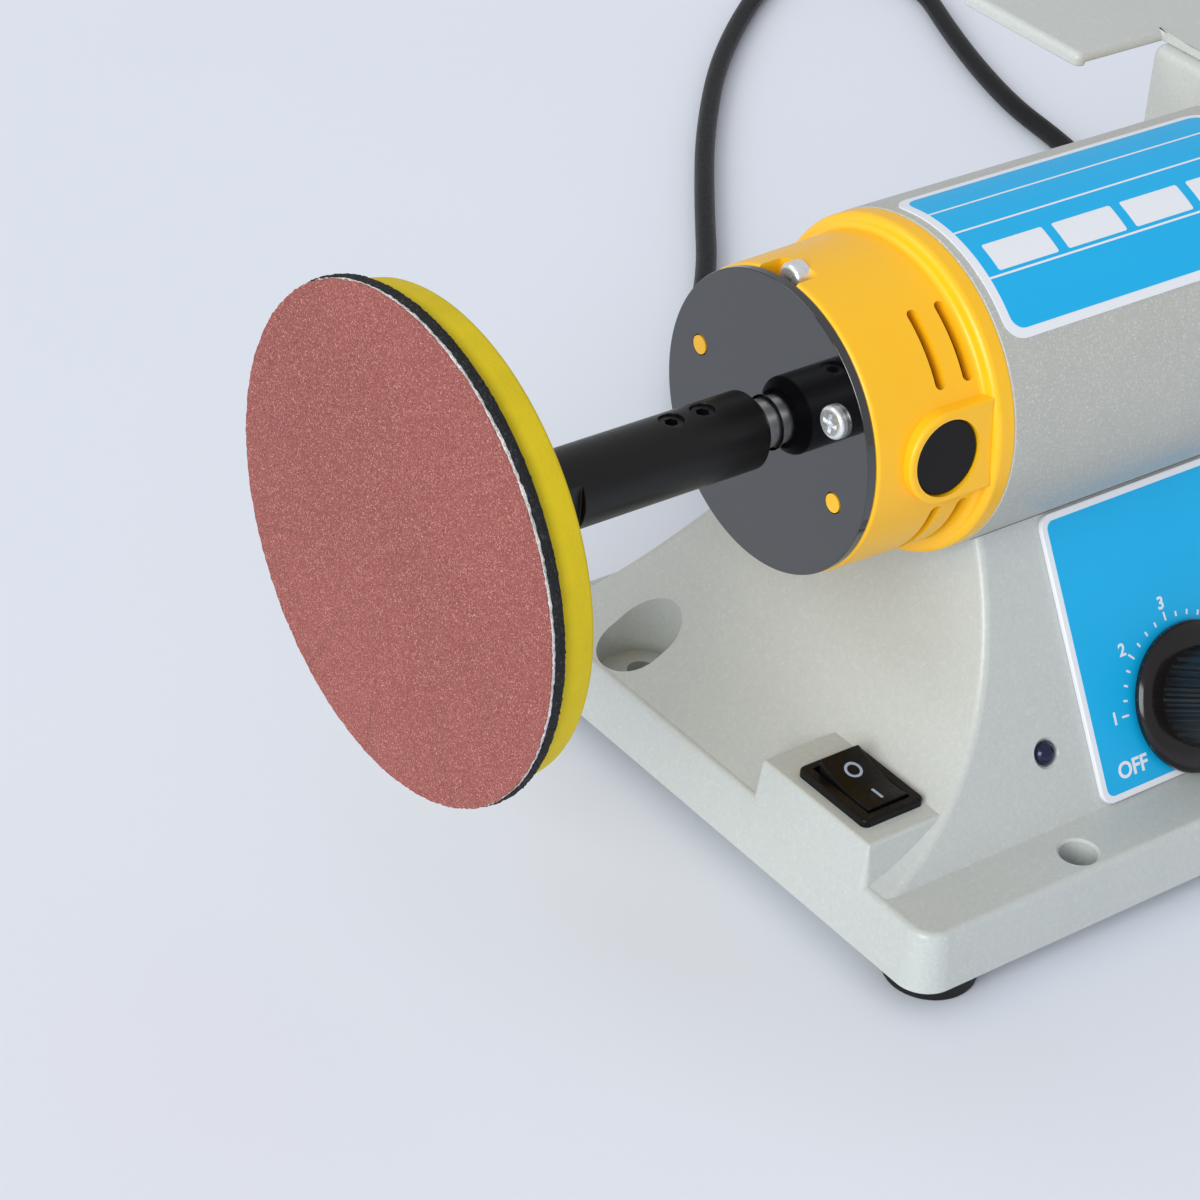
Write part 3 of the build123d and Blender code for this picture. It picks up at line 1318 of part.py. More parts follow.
with BuildPart() as cord_coil:
    with BuildLine() as coil_route:
        begin = coil_point(0)
        Line(begin + Vector(CORD_D, 0, 0), begin)
        steps = int(COIL_TURNS * COIL_STEPS)
        for step in range(steps):
            p0 = coil_point(step / COIL_STEPS)
            p1 = coil_point((step + 1) / COIL_STEPS)
            t0 = coil_heading(step / COIL_STEPS)
            t1 = coil_heading((step + 1) / COIL_STEPS)
            chord = p1 - p0
            both = t0 + t1
            spare = 2 * (1 - t0.dot(t1))
            reach = ((chord.dot(both) ** 2 + spare * chord.dot(chord)) ** 0.5 - chord.dot(both)) / spare
            joint = (p0 + p1 + (t0 - t1) * reach) * 0.5
            mid_heading = (p1 - t1 * reach) - (p0 + t0 * reach)
            TangentArc(p0, joint, tangent=t0)
            TangentArc(joint, p1, tangent=mid_heading)
        finish = coil_point(COIL_TURNS)
        Line(finish, finish + Vector(CORD_D, 0, 0))
    with BuildSketch(Plane(origin=begin + Vector(CORD_D, 0, 0), z_dir=(-1, 0, 0))):
        Circle(CORD_D / 2)
    sweep(path=coil_route.wires()[0])
cord_coil.part.label = "cord_coil"
export_step(cord_coil.part, "parts/cord_coil.step")

with BuildPart() as cord_tail:
    coil_end = coil_point(COIL_TURNS) + Vector(CORD_D, 0, 0)
    add(
        cord_along(
            [
                (coil_end.X, coil_end.Y, coil_end.Z),
                (133.5, coil_end.Y, COIL_TOP_Z),
                (150.5, PLUG_Y, PLUG_Z),
                (PLUG_X + 3, PLUG_Y, PLUG_Z),
            ]
        )
    )
cord_tail.part.label = "cord_tail"
export_step(cord_tail.part, "parts/cord_tail.step")

with BuildPart() as coil_tie:
    inner_r = COIL_R - COIL_PITCH * HALF_TURNS - CORD_D / 2 - TIE_GAP
    outer_r = COIL_R - COIL_PITCH * 0.25 + CORD_D / 2 + TIE_GAP
    low = COIL_Z - CORD_D / 2 - TIE_GAP
    high = COIL_TOP_Z + CORD_D / 2 + TIE_GAP
    middle = (COIL_CENTRE[0] - (inner_r + outer_r) / 2, COIL_CENTRE[1], (low + high) / 2)
    with Locations(middle):
        Box(outer_r - inner_r + 2 * TIE_T, TIE_W, high - low + 2 * TIE_T)
    fillet(coil_tie.edges().filter_by(Axis.Y), 2.2)
    with Locations(middle):
        Box(outer_r - inner_r, TIE_W, high - low, mode=Mode.SUBTRACT)
coil_tie.part.label = "coil_tie"
export_step(coil_tie.part, "parts/coil_tie.step")

with BuildPart() as plug_body:
    with Locations((PLUG_X + PLUG_NECK + PLUG_SIZE[0] / 2, PLUG_Y, PLUG_Z)):
        Box(*PLUG_SIZE)
    fillet(plug_body.edges().filter_by(Axis.X), 5.0)
    with Locations(Plane(origin=(PLUG_X, PLUG_Y, PLUG_Z), z_dir=(1, 0, 0))):
        Cone(4.0, 6.4, PLUG_NECK, align=UP)
        Cylinder(CORD_D / 2 + 0.1, 3.2, align=UP, mode=Mode.SUBTRACT)
plug_body.part.label = "plug_body"
export_step(plug_body.part, "parts/plug_body.step")

with BuildPart() as plug_pins:
    for side in (-1, 1):
        plane = Plane(
            origin=(PLUG_X + PLUG_NECK + PLUG_SIZE[0], PLUG_Y + side * PLUG_PIN_SPACING / 2, PLUG_Z),
            z_dir=(1, 0, 0),
        )
        with Locations(plane):
            Cylinder(2.0, PIN_L, align=UP)
    fillet(plug_pins.edges().group_by(Axis.X)[-1], 0.8)
plug_pins.part.label = "plug_pins"
export_step(plug_pins.part, "parts/plug_pins.step")

# Printed measures of the cord
coil_wire = coil_route.wires()[0]
samples = 600
coil_points = [coil_wire.position_at(i / samples) for i in range(samples + 1)]
apart = int(3 * CORD_D / coil_wire.length * samples) + 1
least_gap = min(
    (coil_points[i] - coil_points[j]).length - CORD_D
    for i in range(samples + 1)
    for j in range(i + apart, samples + 1)
)
section = pi * CORD_D**2 / 4
print("bend radii, mm:", [round(radius, 1) for radius in bend_radii(CORD_RUN)])
print("coil's least gap to itself, mm:", round(least_gap, 2))
print("coil volume over section times length:", round(cord_coil.part.volume / section / coil_wire.length, 4))
print("cord run, mm:", round(cord_run.part.volume / section), "coil, mm:", round(coil_wire.length))
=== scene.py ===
"""Bench polisher with a sanding pad, dressed for its picture: camera, cord, finishes and fine pieces."""

import json
from math import cos, pi, radians, sin

import bmesh
import bpy
from mathutils import Matrix, Vector, noise

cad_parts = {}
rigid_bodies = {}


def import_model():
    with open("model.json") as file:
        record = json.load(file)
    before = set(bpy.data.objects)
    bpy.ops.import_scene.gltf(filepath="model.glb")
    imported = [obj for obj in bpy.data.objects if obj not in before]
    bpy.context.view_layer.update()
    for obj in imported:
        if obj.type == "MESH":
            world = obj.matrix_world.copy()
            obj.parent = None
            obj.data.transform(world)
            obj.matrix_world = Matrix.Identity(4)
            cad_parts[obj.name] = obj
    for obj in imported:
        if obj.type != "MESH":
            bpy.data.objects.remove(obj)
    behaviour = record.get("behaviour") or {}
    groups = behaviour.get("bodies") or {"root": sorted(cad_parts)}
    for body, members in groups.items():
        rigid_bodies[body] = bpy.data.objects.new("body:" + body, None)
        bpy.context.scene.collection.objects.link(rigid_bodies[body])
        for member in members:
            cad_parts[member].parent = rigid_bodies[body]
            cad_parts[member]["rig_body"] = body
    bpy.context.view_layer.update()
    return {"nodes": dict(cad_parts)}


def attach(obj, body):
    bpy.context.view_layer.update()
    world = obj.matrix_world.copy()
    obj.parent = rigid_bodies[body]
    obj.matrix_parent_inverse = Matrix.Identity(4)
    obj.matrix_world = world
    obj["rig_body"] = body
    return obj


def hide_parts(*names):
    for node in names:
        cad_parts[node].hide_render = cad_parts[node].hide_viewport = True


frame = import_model()

# Sizes are in millimetres, and MM turns them into the frame's metres
MM = 0.001
# Height of the motor shaft, in metres
AXIS_Z = 98.5 * MM
# Points that are nearer than this are one point
MERGE = 1e-6
# Steps of a spun shape and of its finely ruffled rims
SPIN_STEPS = 128
RIM_STEPS = 600

# The leaning front face, its panel and the knob's place on it
FACE_LEAN = radians(30)
FACE_TOP_Y = -23.1
FACE_TOP_Z = 72.5
PANEL_T = 1.2
PANEL_X = 1.5
PANEL_W = 56.8
PANEL_H = 61.6
PANEL_TOP = 0.6
KNOB_DOWN = 47.2
KNOB_BASE = 2.0

# The barrel and its label, with angles in degrees up from the front
BARREL_R = 35.0
LABEL_X = (-45.6, 38.4)
LABEL_A = (37.5, 107.0)
LABEL_T = 0.25
INK_T = 0.04

# The rocker switch
SWITCH_X = -74.5
SWITCH_Y = -32.6
ROCKER_Z = 28.3
ROCKER_TILT = radians(9)


def point(x, y, z):
    """A place in the frame from millimetres."""
    return Vector((x, y, z)) * MM


# Camera at the photograph's place; its clip distances are in metres
CAMERA_AT = point(-474.2, -444.2, 447.9)
CAMERA_YAW = radians(51.32)
CAMERA_PITCH = radians(33.59)
CAMERA_ROLL = radians(-4.36)
FOCAL_PIXELS = 3541
IMAGE_PIXELS = 1200
SENSOR = 36.0
CLIP_NEAR = 0.05
CLIP_FAR = 30

ahead = Vector(
    (
        cos(CAMERA_PITCH) * cos(CAMERA_YAW),
        cos(CAMERA_PITCH) * sin(CAMERA_YAW),
        -sin(CAMERA_PITCH),
    )
)
level_right = Vector((sin(CAMERA_YAW), -cos(CAMERA_YAW), 0))
level_down = ahead.cross(level_right)
picture_right = cos(CAMERA_ROLL) * level_right + sin(CAMERA_ROLL) * level_down
picture_down = cos(CAMERA_ROLL) * level_down - sin(CAMERA_ROLL) * level_right

camera_data = bpy.data.cameras.new("photo_camera")
camera_data.sensor_width = SENSOR
camera_data.lens = SENSOR * FOCAL_PIXELS / IMAGE_PIXELS
camera_data.clip_start = CLIP_NEAR
camera_data.clip_end = CLIP_FAR
camera = bpy.data.objects.new("photo_camera", camera_data)
bpy.context.scene.collection.objects.link(camera)
turned_camera = Matrix((picture_right, -picture_down, -ahead)).transposed().to_4x4()
camera.matrix_world = Matrix.Translation(CAMERA_AT) @ turned_camera
bpy.context.scene.camera = camera

# Finishes: colours are sRGB, sizes of patterns are real millimetres
SHADER_SOCKETS = {"ior": "IOR", "specular": "Specular IOR Level"}
# Sockets of the mix node: its share, two numbers, two colours and the colour that comes out
SHARE = 0
NUMBER_A = 2
NUMBER_B = 3
COLOUR_A = 6
COLOUR_B = 7
COLOUR_OUT = 2
# How much fine detail the noise of clouds, grain and rings has
CLOUD_DETAIL = 3.0
GRAIN_DETAIL = 2.0
RING_DETAIL = 1.0
# The span in which most of a noise pattern's values lie
NOISE_SPAN = (0.3, 0.7)
# The fine relief of turned and stacked metal
TURNED_GRAIN = 0.6
TURNED_DEPTH = 0.004
# Grains whose own random value is above this turn to the glint colour, a painted highlight
GLINT_FROM = 0.85


def tint(code):
    """A linear colour from an sRGB hex value."""
    shares = [int(code[i : i + 2], 16) / 255 for i in (0, 2, 4)]
    return [s / 12.92 if s <= 0.04045 else ((s + 0.055) / 1.055) ** 2.4 for s in shares] + [1.0]


def node(material, kind, values=None, **settings):
    """Adds one node with its settings, values and links."""
    made = material.node_tree.nodes.new(kind)
    for name, value in settings.items():
        setattr(made, name, value)
    for socket, value in (values or {}).items():
        if isinstance(value, bpy.types.NodeSocket):
            material.node_tree.links.new(value, made.inputs[socket])
        else:
            made.inputs[socket].default_value = value
    return made


def per(size):
    """A texture's scale for a pattern of that size in millimetres."""
    return 1 / (size * MM)


def bare(name, metallic, constants):
    """A new material with the values that are the same all over it, its shader and its coordinates."""
    made = bpy.data.materials.new(name)
    made.use_nodes = True
    shader = made.node_tree.nodes["Principled BSDF"]
    shader.inputs["Metallic"].default_value = metallic
    for word, value in constants.items():
        shader.inputs[SHADER_SOCKETS[word]].default_value = value
    place = node(made, "ShaderNodeTexCoord").outputs["Object"]
    return made, shader, place


def skinned(made, shader, tones, roughness, depth, clouds, sheen, grain):
    """Gives a material its tone by clouds, its gloss by sheen and its relief by grain, all three patterns."""
    light, dark = tones
    tone = node(
        made,
        "ShaderNodeMix",
        {SHARE: clouds.outputs["Fac"], COLOUR_A: tint(dark), COLOUR_B: tint(light)},
        data_type="RGBA",
    )
    gloss = node(
        made,
        "ShaderNodeMapRange",
        {
            "Value": sheen.outputs["Fac"],
            "From Min": NOISE_SPAN[0],
            "From Max": NOISE_SPAN[1],
            "To Min": roughness[0],
            "To Max": roughness[1],
        },
    )
    relief = node(
        made,
        "ShaderNodeBump",
        {"Height": grain.outputs["Fac"], "Distance": depth * MM, "Strength": 1.0},
    )
    made.node_tree.links.new(tone.outputs[COLOUR_OUT], shader.inputs["Base Color"])
    made.node_tree.links.new(gloss.outputs["Result"], shader.inputs["Roughness"])
    made.node_tree.links.new(relief.outputs["Normal"], shader.inputs["Normal"])


def surface(name, light, dark, patch, roughness, grain, depth, metallic=0.0, **constants):
    """A material whose tone drifts over patches and whose fine grain shows in its gloss and relief.

    patch and grain are sizes in millimetres, depth is the relief's height in millimetres,
    roughness is its lowest and highest value, and constants are the shader's own sockets.
    """
    made, shader, place = bare(name, metallic, constants)
    drift = node(
        made,
        "ShaderNodeTexNoise",
        {"Vector": place, "Scale": per(patch), "Detail": CLOUD_DETAIL},
    )
    fine = node(
        made,
        "ShaderNodeTexNoise",
        {"Vector": place, "Scale": per(grain), "Detail": GRAIN_DETAIL},
    )
    skinned(made, shader, (light, dark), roughness, depth, clouds=drift, sheen=fine, grain=fine)
    return made


def ringed(name, light, dark, pitch, roughness, metallic=1.0, **constants):
    """A turned or stacked surface: its tone and gloss change in rings along the motor shaft."""
    made, shader, place = bare(name, metallic, constants)
    along = node(made, "ShaderNodeSeparateXYZ", {"Vector": place})
    rings = node(
        made,
        "ShaderNodeTexNoise",
        {"W": along.outputs["X"], "Scale": per(pitch), "Detail": RING_DETAIL},
        noise_dimensions="1D",
    )
    fine = node(
        made,
        "ShaderNodeTexNoise",
        {"Vector": place, "Scale": per(TURNED_GRAIN), "Detail": GRAIN_DETAIL},
    )
    skinned(made, shader, (light, dark), roughness, TURNED_DEPTH, clouds=rings, sheen=rings, grain=fine)
    return made


def grained(name, light, dark, grain, depth, roughness, painted_glint, patch=16, cloud=0.45, **constants):
    """A surface of separate grains or loops, each with its own tone, a few of them in the glint colour, a
    painted highlight.

    patch is the size of its clouds in millimetres, and cloud is their share in the tone.
    """
    made, shader, place = bare(name, 0.0, constants)
    shader.inputs["Roughness"].default_value = roughness
    drift = node(
        made,
        "ShaderNodeTexNoise",
        {"Vector": place, "Scale": per(patch), "Detail": CLOUD_DETAIL},
    )
    cells = node(made, "ShaderNodeTexVoronoi", {"Vector": place, "Scale": per(grain)})
    shade = node(made, "ShaderNodeSeparateColor", {"Color": cells.outputs["Color"]})
    share = node(
        made,
        "ShaderNodeMix",
        {SHARE: cloud, NUMBER_A: shade.outputs["Red"], NUMBER_B: drift.outputs["Fac"]},
    )
    plain = node(
        made,
        "ShaderNodeMix",
        {SHARE: share.outputs[0], COLOUR_A: tint(dark), COLOUR_B: tint(light)},
        data_type="RGBA",
    )
    # Share of each grain that takes the painted highlight colour
    bright = node(
        made,
        "ShaderNodeMapRange",
        {"Value": shade.outputs["Green"], "From Min": GLINT_FROM, "From Max": 1.0},
    )
    tone = node(
        made,
        "ShaderNodeMix",
        {SHARE: bright.outputs["Result"], COLOUR_A: plain.outputs[COLOUR_OUT], COLOUR_B: tint(painted_glint)},
        data_type="RGBA",
    )
    relief = node(
        made,
        "ShaderNodeBump",
        {"Height": cells.outputs["Distance"], "Distance": depth * MM, "Strength": 1.0},
        invert=True,
    )
    made.node_tree.links.new(tone.outputs[COLOUR_OUT], shader.inputs["Base Color"])
    made.node_tree.links.new(relief.outputs["Normal"], shader.inputs["Normal"])
    return made


# Stove enamel on the casting and the sheet steel: pale grey with a hint of green, a soft orange peel and
# faint painted highlights on a few grains
cast_enamel = grained(
    "enamel_on_cast_aluminium",
    light="C6CAC8",
    dark="BDC1C0",
    grain=0.6,
    depth=0.006,
    roughness=0.3,
    painted_glint="C8CCCB",
    ior=1.5,
)
sheet_enamel = grained(
    "enamel_on_sheet_steel",
    light="C6C9C7",
    dark="BEC1BE",
    grain=0.5,
    depth=0.004,
    roughness=0.34,
    painted_glint="C9CCCA",
    ior=1.5,
)
# Flecked enamel on the drawn steel barrel: warm grey, with a fine glitter that is painted highlights on a few
# grains
barrel_enamel = grained(
    "flecked_enamel_on_steel",
    light="BFBFB9",
    dark="AEAFAA",
    grain=0.3,
    depth=0.008,
    roughness=0.42,
    painted_glint="CDCDC7",
    ior=1.5,
    specular=0.3,
)
# Moulded rubber: nearly black and dull
rubber = surface(
    "moulded_rubber",
    light="161617",
    dark="101011",
    patch=12,
    roughness=(0.68, 0.82),
    grain=0.5,
    depth=0.03,
    specular=0.35,
)
# PVC cord sheath: black with a low sheen and a slightly uneven skin
cord_sheath = surface(
    "extruded_pvc_sheath",
    light="0F1013",
    dark="090A0C",
    patch=25,
    roughness=(0.38, 0.5),
    grain=0.9,
    depth=0.03,
    ior=1.53,
    specular=0.22,
)
# Printed polycarbonate film: the same fine satin skin over blue and white ink
film_white = surface(
    "polycarbonate_film_white",
    light="ECEDF3",
    dark="E5E7EE",
    patch=30,
    roughness=(0.36, 0.46),
    grain=0.5,
    depth=0.008,
    ior=1.58,
)
film_blue = surface(
    "polycarbonate_film_blue",
    light="10B2EC",
    dark="0CACE6",
    patch=30,
    roughness=(0.36, 0.46),
    grain=0.5,
    depth=0.008,
    ior=1.58,
    specular=0.3,
)
# Moulded ABS: black, satin from a spark-eroded mould
abs_black = surface(
    "moulded_abs_black",
    light="100E0F",
    dark="0A0809",
    patch=14,
    roughness=(0.26, 0.38),
    grain=0.45,
    depth=0.012,
    ior=1.53,
    specular=0.18,
)
# The knob's skirt: ABS from a polished mould, with a clear gloss
abs_gloss = surface(
    "moulded_abs_gloss_black",
    light="1A1514",
    dark="120E0E",
    patch=14,
    roughness=(0.12, 0.20),
    grain=0.6,
    depth=0.004,
    ior=1.53,
    specular=0.4,
)
# The knob's grip: the same ABS, dulled by handling
abs_grip = surface(
    "moulded_abs_handled_black",
    light="17181B",
    dark="101114",
    patch=8,
    roughness=(0.34, 0.46),
    grain=0.5,
    depth=0.008,
    ior=1.53,
    specular=0.45,
)
# Polished black acrylic plate: a clear mirror with faint handling haze
acrylic_black = surface(
    "polished_acrylic_black",
    light="0C0C0F",
    dark="08080B",
    patch=18,
    roughness=(0.03, 0.07),
    grain=5.0,
    depth=0.0006,
    ior=1.65,
    specular=0.88,
)
# Moulded glass-filled nylon: warm yellow with a soft gloss
nylon_yellow = surface(
    "moulded_nylon_yellow",
    light="FFC51B",
    dark="FFBC13",
    patch=28,
    roughness=(0.30, 0.40),
    grain=0.8,
    depth=0.012,
    ior=1.53,
)
# Bright zinc plate: pale with bluish clouds
zinc_plate = surface(
    "bright_zinc_plate",
    light="FAFBFC",
    dark="DCE0E6",
    patch=1.6,
    roughness=(0.22, 0.38),
    grain=0.5,
    depth=0.006,
    metallic=0.75,
)
# Ground shaft steel and blackened steel: fine rings from turning
ground_steel = ringed("ground_shaft_steel", light="ECECEE", dark="DEDEE0", pitch=1.2, roughness=(0.28, 0.38))
black_steel = ringed(
    "blackened_turned_steel",
    light="121113",
    dark="0C0B0D",
    pitch=0.45,
    roughness=(0.30, 0.42),
    metallic=0.0,
    ior=1.6,
    specular=0.28,
)
# Varnished electrical sheet: thin plates seen edge on
sheet_stack = ringed(
    "varnished_electrical_sheet",
    light="6A6B70",
    dark="3E3F44",
    pitch=0.5,
    roughness=(0.40, 0.55),
    metallic=0.8,
)
# Enamelled copper wire: warm brown-red with wire-wide rings
copper_wire = ringed(
    "enamelled_copper_wire",
    light="B8683A",
    dark="8E4826",
    pitch=0.6,
    roughness=(0.30, 0.45),
    metallic=0.85,
)
# Pressed carbon: dark grey and dull, with fine pores
carbon_block = surface(
    "pressed_carbon",
    light="2A2A2B",
    dark="1C1C1D",
    patch=3,
    roughness=(0.55, 0.7),
    grain=0.3,
    depth=0.02,
)
# Drawn brass: warm yellow metal with a soft gloss
brass_tube = surface(
    "drawn_brass",
    light="CFA552",
    dark="B88E40",
    patch=5,
    roughness=(0.22, 0.34),
    grain=0.4,
    depth=0.004,
    metallic=1.0,
)
# Solder mask on a circuit board: green lacquer with a fine uneven skin
circuit_board = surface(
    "solder_masked_board",
    light="1F6B35",
    dark="17582A",
    patch=3,
    roughness=(0.30, 0.42),
    grain=0.4,
    depth=0.01,
    ior=1.55,
)
# Extruded aluminium: pale metal with fine bands
fin_aluminium = ringed("extruded_aluminium", light="D2D4D6", dark="BCBEC1", pitch=0.8, roughness=(0.28, 0.42))
# Moulded polyurethane foam of the pad: bright yellow, dull, with fine open pores
pad_foam = surface(
    "moulded_polyurethane_foam",
    light="EAD008",
    dark="D8BD04",
    patch=6,
    roughness=(0.70, 0.85),
    grain=0.55,
    depth=0.09,
)
# Hook fabric: black bristly nap, with painted highlights on a few loops
hook_nap = grained(
    "nylon_hook_fabric",
    light="191A1F",
    dark="050506",
    grain=0.4,
    depth=0.3,
    roughness=0.85,
    painted_glint="34363E",
)
# Aluminium oxide grit in resin: red-brown, with broad faint clouds, and a few grains in a pale colour that is
# a painted highlight
oxide_grit = grained(
    "aluminium_oxide_grit",
    light="AD6159",
    dark="662D29",
    grain=0.2,
    depth=0.07,
    roughness=0.8,
    painted_glint="CB9187",
    patch=60,
    cloud=0.35,
)
# Blued screw steel: dark navy with a clear highlight
blued_steel = surface(
    "blued_screw_steel",
    light="2A3150",
    dark="1C2238",
    patch=2,
    roughness=(0.10, 0.18),
    grain=0.4,
    depth=0.002,
    metallic=0.5,
)
# Pad-printed marks of the switch: thin pale blue ink
mark_ink = surface(
    "pad_printed_ink",
    light="A9B7CC",
    dark="98A8C0",
    patch=1.5,
    roughness=(0.4, 0.5),
    grain=0.3,
    depth=0.004,
)
# Brushed cotton backing of the disc: a pale fuzzy edge, with painted highlights on a few fibres
cloth_backing = grained(
    "brushed_cotton_backing",
    light="F2F0EE",
    dark="B9B4B2",
    grain=0.4,
    depth=0.2,
    roughness=0.9,
    painted_glint="FFFFFF",
)
# Matt white laminate of the bench top: cool and very faintly mottled
white_laminate = surface(
    "matt_white_laminate",
    light="EBEFF9",
    dark="E7EBF6",
    patch=180,
    roughness=(0.55, 0.65),
    grain=2.0,
    depth=0.01,
)

# The solids take their finishes by their material slots
SLOT_FINISH = {
    "cast_paint": cast_enamel,
    "sheet_paint": sheet_enamel,
    "barrel_paint": barrel_enamel,
    "black_rubber": rubber,
    "cord_black": cord_sheath,
    "panel_blue": film_white,
    "black_plastic": abs_black,
    "plate_black": acrylic_black,
    "yellow_plastic": nylon_yellow,
    "zinc": zinc_plate,
    "ground_steel": ground_steel,
    "black_steel": black_steel,
    "lamination": sheet_stack,
    "copper": copper_wire,
    "carbon": carbon_block,
    "brass_holder": brass_tube,
    "board_green": circuit_board,
    "aluminium_fin": fin_aluminium,
    "pad_yellow": pad_foam,
    "hook_fabric": hook_nap,
    "grit": oxide_grit,
}
for solid in frame["nodes"].values():
    for place in solid.material_slots:
        place.material = SLOT_FINISH[place.material.name.split(".")[0]]

# Mains cord: one spline on the route of the solid
CORD_D = 5.6
CORD_ROUTE = [
    (0, 88, 12),
    (0, 106, 12),
    (5, 124, 8.4),
    (17, 143, 4.0),
    (36, 164, 3.1),
    (60, 188, 3.1),
    (85, 222, 3.1),
    (113, 258, 3.1),
    (148.5, 296.5, 3.1),
    (195.5, 333.6, 3.1),
    (210.1, 335.3, 3.1),
    (223.5, 329.3, 3.1),
    (232.1, 317.4, 3.1),
    (233.5, 302.8, 3.1),
    (221, 276.2, 3.1),
    (210.5, 250.5, 3.1),
    (202.3, 225, 3.1),
    (199.2, 203.5, 3.1),
    (194, 183, 3.1),
    (181, 168.5, 3.4),
    (163, 163.2, 3.9),
    (142.5, 164.5, 4.3),
    (117.6, 164.5, 4.3),
]
CORD_TAIL = [(117.6, 91.5, 10.5), (133.5, 91.5, 10.5), (150.5, 97, 8.0), (167, 97, 8.0)]
# Steps between two points of the route, and round a quarter of the cord
CORD_STEPS = 8
CORD_ROUNDNESS = 5

# The put-away coil starts at its back and climbs on to itself half way
COIL_CENTRE = (112, 128)
COIL_START = radians(90)
COIL_R = 36.5
COIL_PITCH = 6.2
COIL_TURNS = 4.5
COIL_POINTS = 16
COIL_SPREAD = 1.012
COIL_LOW = 4.3
COIL_HIGH = 10.5
CLIMB_FROM = 2.0
CLIMB_TURNS = 0.5


def coil_point(turn):
    """A point of the put-away coil: inwards on the bench, then outwards on top."""
    radius = (COIL_R - COIL_PITCH * min(turn, COIL_TURNS - turn)) * COIL_SPREAD
    climb = min(max((turn - CLIMB_FROM) / CLIMB_TURNS, 0), 1)
    height = COIL_LOW + (COIL_HIGH - COIL_LOW) * climb * climb * (3 - 2 * climb)
    angle = COIL_START + 2 * pi * turn
    return (COIL_CENTRE[0] + radius * cos(angle), COIL_CENTRE[1] + radius * sin(angle), height)


coil_steps = int(COIL_TURNS * COIL_POINTS)
coil_turns = [coil_point(step / COIL_POINTS) for step in range(coil_steps + 1)]
cord_curve = bpy.data.curves.new("mains_cord", "CURVE")
cord_curve.dimensions = "3D"
cord_curve.bevel_depth = CORD_D / 2 * MM
cord_curve.bevel_resolution = CORD_ROUNDNESS
cord_curve.use_fill_caps = True
cord_curve.resolution_u = CORD_STEPS
cord_line = cord_curve.splines.new("NURBS")
cord_points = CORD_ROUTE + coil_turns + CORD_TAIL
cord_line.points.add(len(cord_points) - 1)
for knot, place in zip(cord_line.points, cord_points):
    knot.co = (*point(*place), 1)
cord_line.order_u = 3
cord_line.use_endpoint_u = True
cord_curve.materials.append(cord_sheath)
mains_cord = bpy.data.objects.new("mains_cord", cord_curve)
bpy.context.scene.collection.objects.link(mains_cord)
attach(mains_cord, "stand")
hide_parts("cord_run", "cord_coil", "cord_tail")

# Ways to make pieces
CORNER_STEPS = 8
# Angles of the bends in a film on the barrel, in degrees
BEND_ANGLES = range(33, 112, 3)
# Facets of a solid that differ by less are one face, and edges that turn by more are rounded over
FLAT_ANGLE = radians(1)
HARD_ANGLE = radians(35)
EASE_STEPS = 2


def shown(name, mesh, finishes, body, smooth=35):
    """Puts a finished bmesh in the scene as a piece that moves with a body.

    smooth is the angle in degrees up to which two faces are shaded as one.
    """
    data = bpy.data.meshes.new(name)
    mesh.to_mesh(data)
    mesh.free()
    if "custom_normal" in data.attributes:
        data.attributes.remove(data.attributes["custom_normal"])
    data.shade_smooth()
    data.set_sharp_from_angle(angle=radians(smooth))
    for finish in finishes:
        data.materials.append(finish)
    thing = bpy.data.objects.new(name, data)
    bpy.context.scene.collection.objects.link(thing)
    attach(thing, body)
    return thing


def added(whole, piece):
    """Adds a small shape to a larger one."""
    data = bpy.data.meshes.new("piece")
    piece.to_mesh(data)
    piece.free()
    whole.from_mesh(data)
    bpy.data.meshes.remove(data)


def spun(outline, centre, axis, steps, ring=False):
    """A shape spun once about an axis from its outline's points; a ring's outline is closed."""
    mesh = bmesh.new()
    knots = [mesh.verts.new(place) for place in outline]
    following = knots[1:] + knots[:1] if ring else knots[1:]
    lines = [mesh.edges.new(ends) for ends in zip(knots, following)]
    bmesh.ops.spin(
        mesh,
        geom=knots + lines,
        cent=centre,
        axis=axis,
        angle=2 * pi,
        steps=steps,
        use_merge=True,
    )
    bmesh.ops.remove_doubles(mesh, verts=mesh.verts, dist=MERGE)
    bmesh.ops.recalc_face_normals(mesh, faces=mesh.faces)
    return mesh


def turned(points, steps=SPIN_STEPS):
    """A shape on the motor shaft, in place, from (x, radius) points in millimetres."""
    outline = [(x * MM, 0, AXIS_Z + radius * MM) for x, radius in points]
    return spun(outline, (0, 0, AXIS_Z), (1, 0, 0), steps)


def lathe(points, ring=False):
    """A shape on its own upright axis from (radius, height) points in millimetres."""
    outline = [(radius, 0, height) for radius, height in points]
    return spun(outline, (0, 0, 0), (0, 0, 1), SPIN_STEPS, ring)


def ruffled(mesh, rim, size, depth):
    """Makes the rim of a shape on the motor shaft uneven beyond a radius, in millimetres."""
    for knot in mesh.verts:
        spoke = Vector((0, knot.co.y, knot.co.z - AXIS_Z))
        if spoke.length > rim * MM:
            knot.co += spoke.normalized() * noise.noise(knot.co * per(size)) * depth * MM


def on_face(down, height, x=0.0):
    """The place of a piece on the leaning front face: x right, y up the face, z outwards."""
    origin = point(
        x,
        FACE_TOP_Y - down * sin(FACE_LEAN) - height * cos(FACE_LEAN),
        FACE_TOP_Z - down * cos(FACE_LEAN) + height * sin(FACE_LEAN),
    )
    up = Vector((0, sin(FACE_LEAN), cos(FACE_LEAN)))
    out = Vector((0, -cos(FACE_LEAN), sin(FACE_LEAN)))
    lay = Matrix((Vector((1, 0, 0)), up, out)).transposed().to_4x4()
    return Matrix.Translation(origin) @ lay


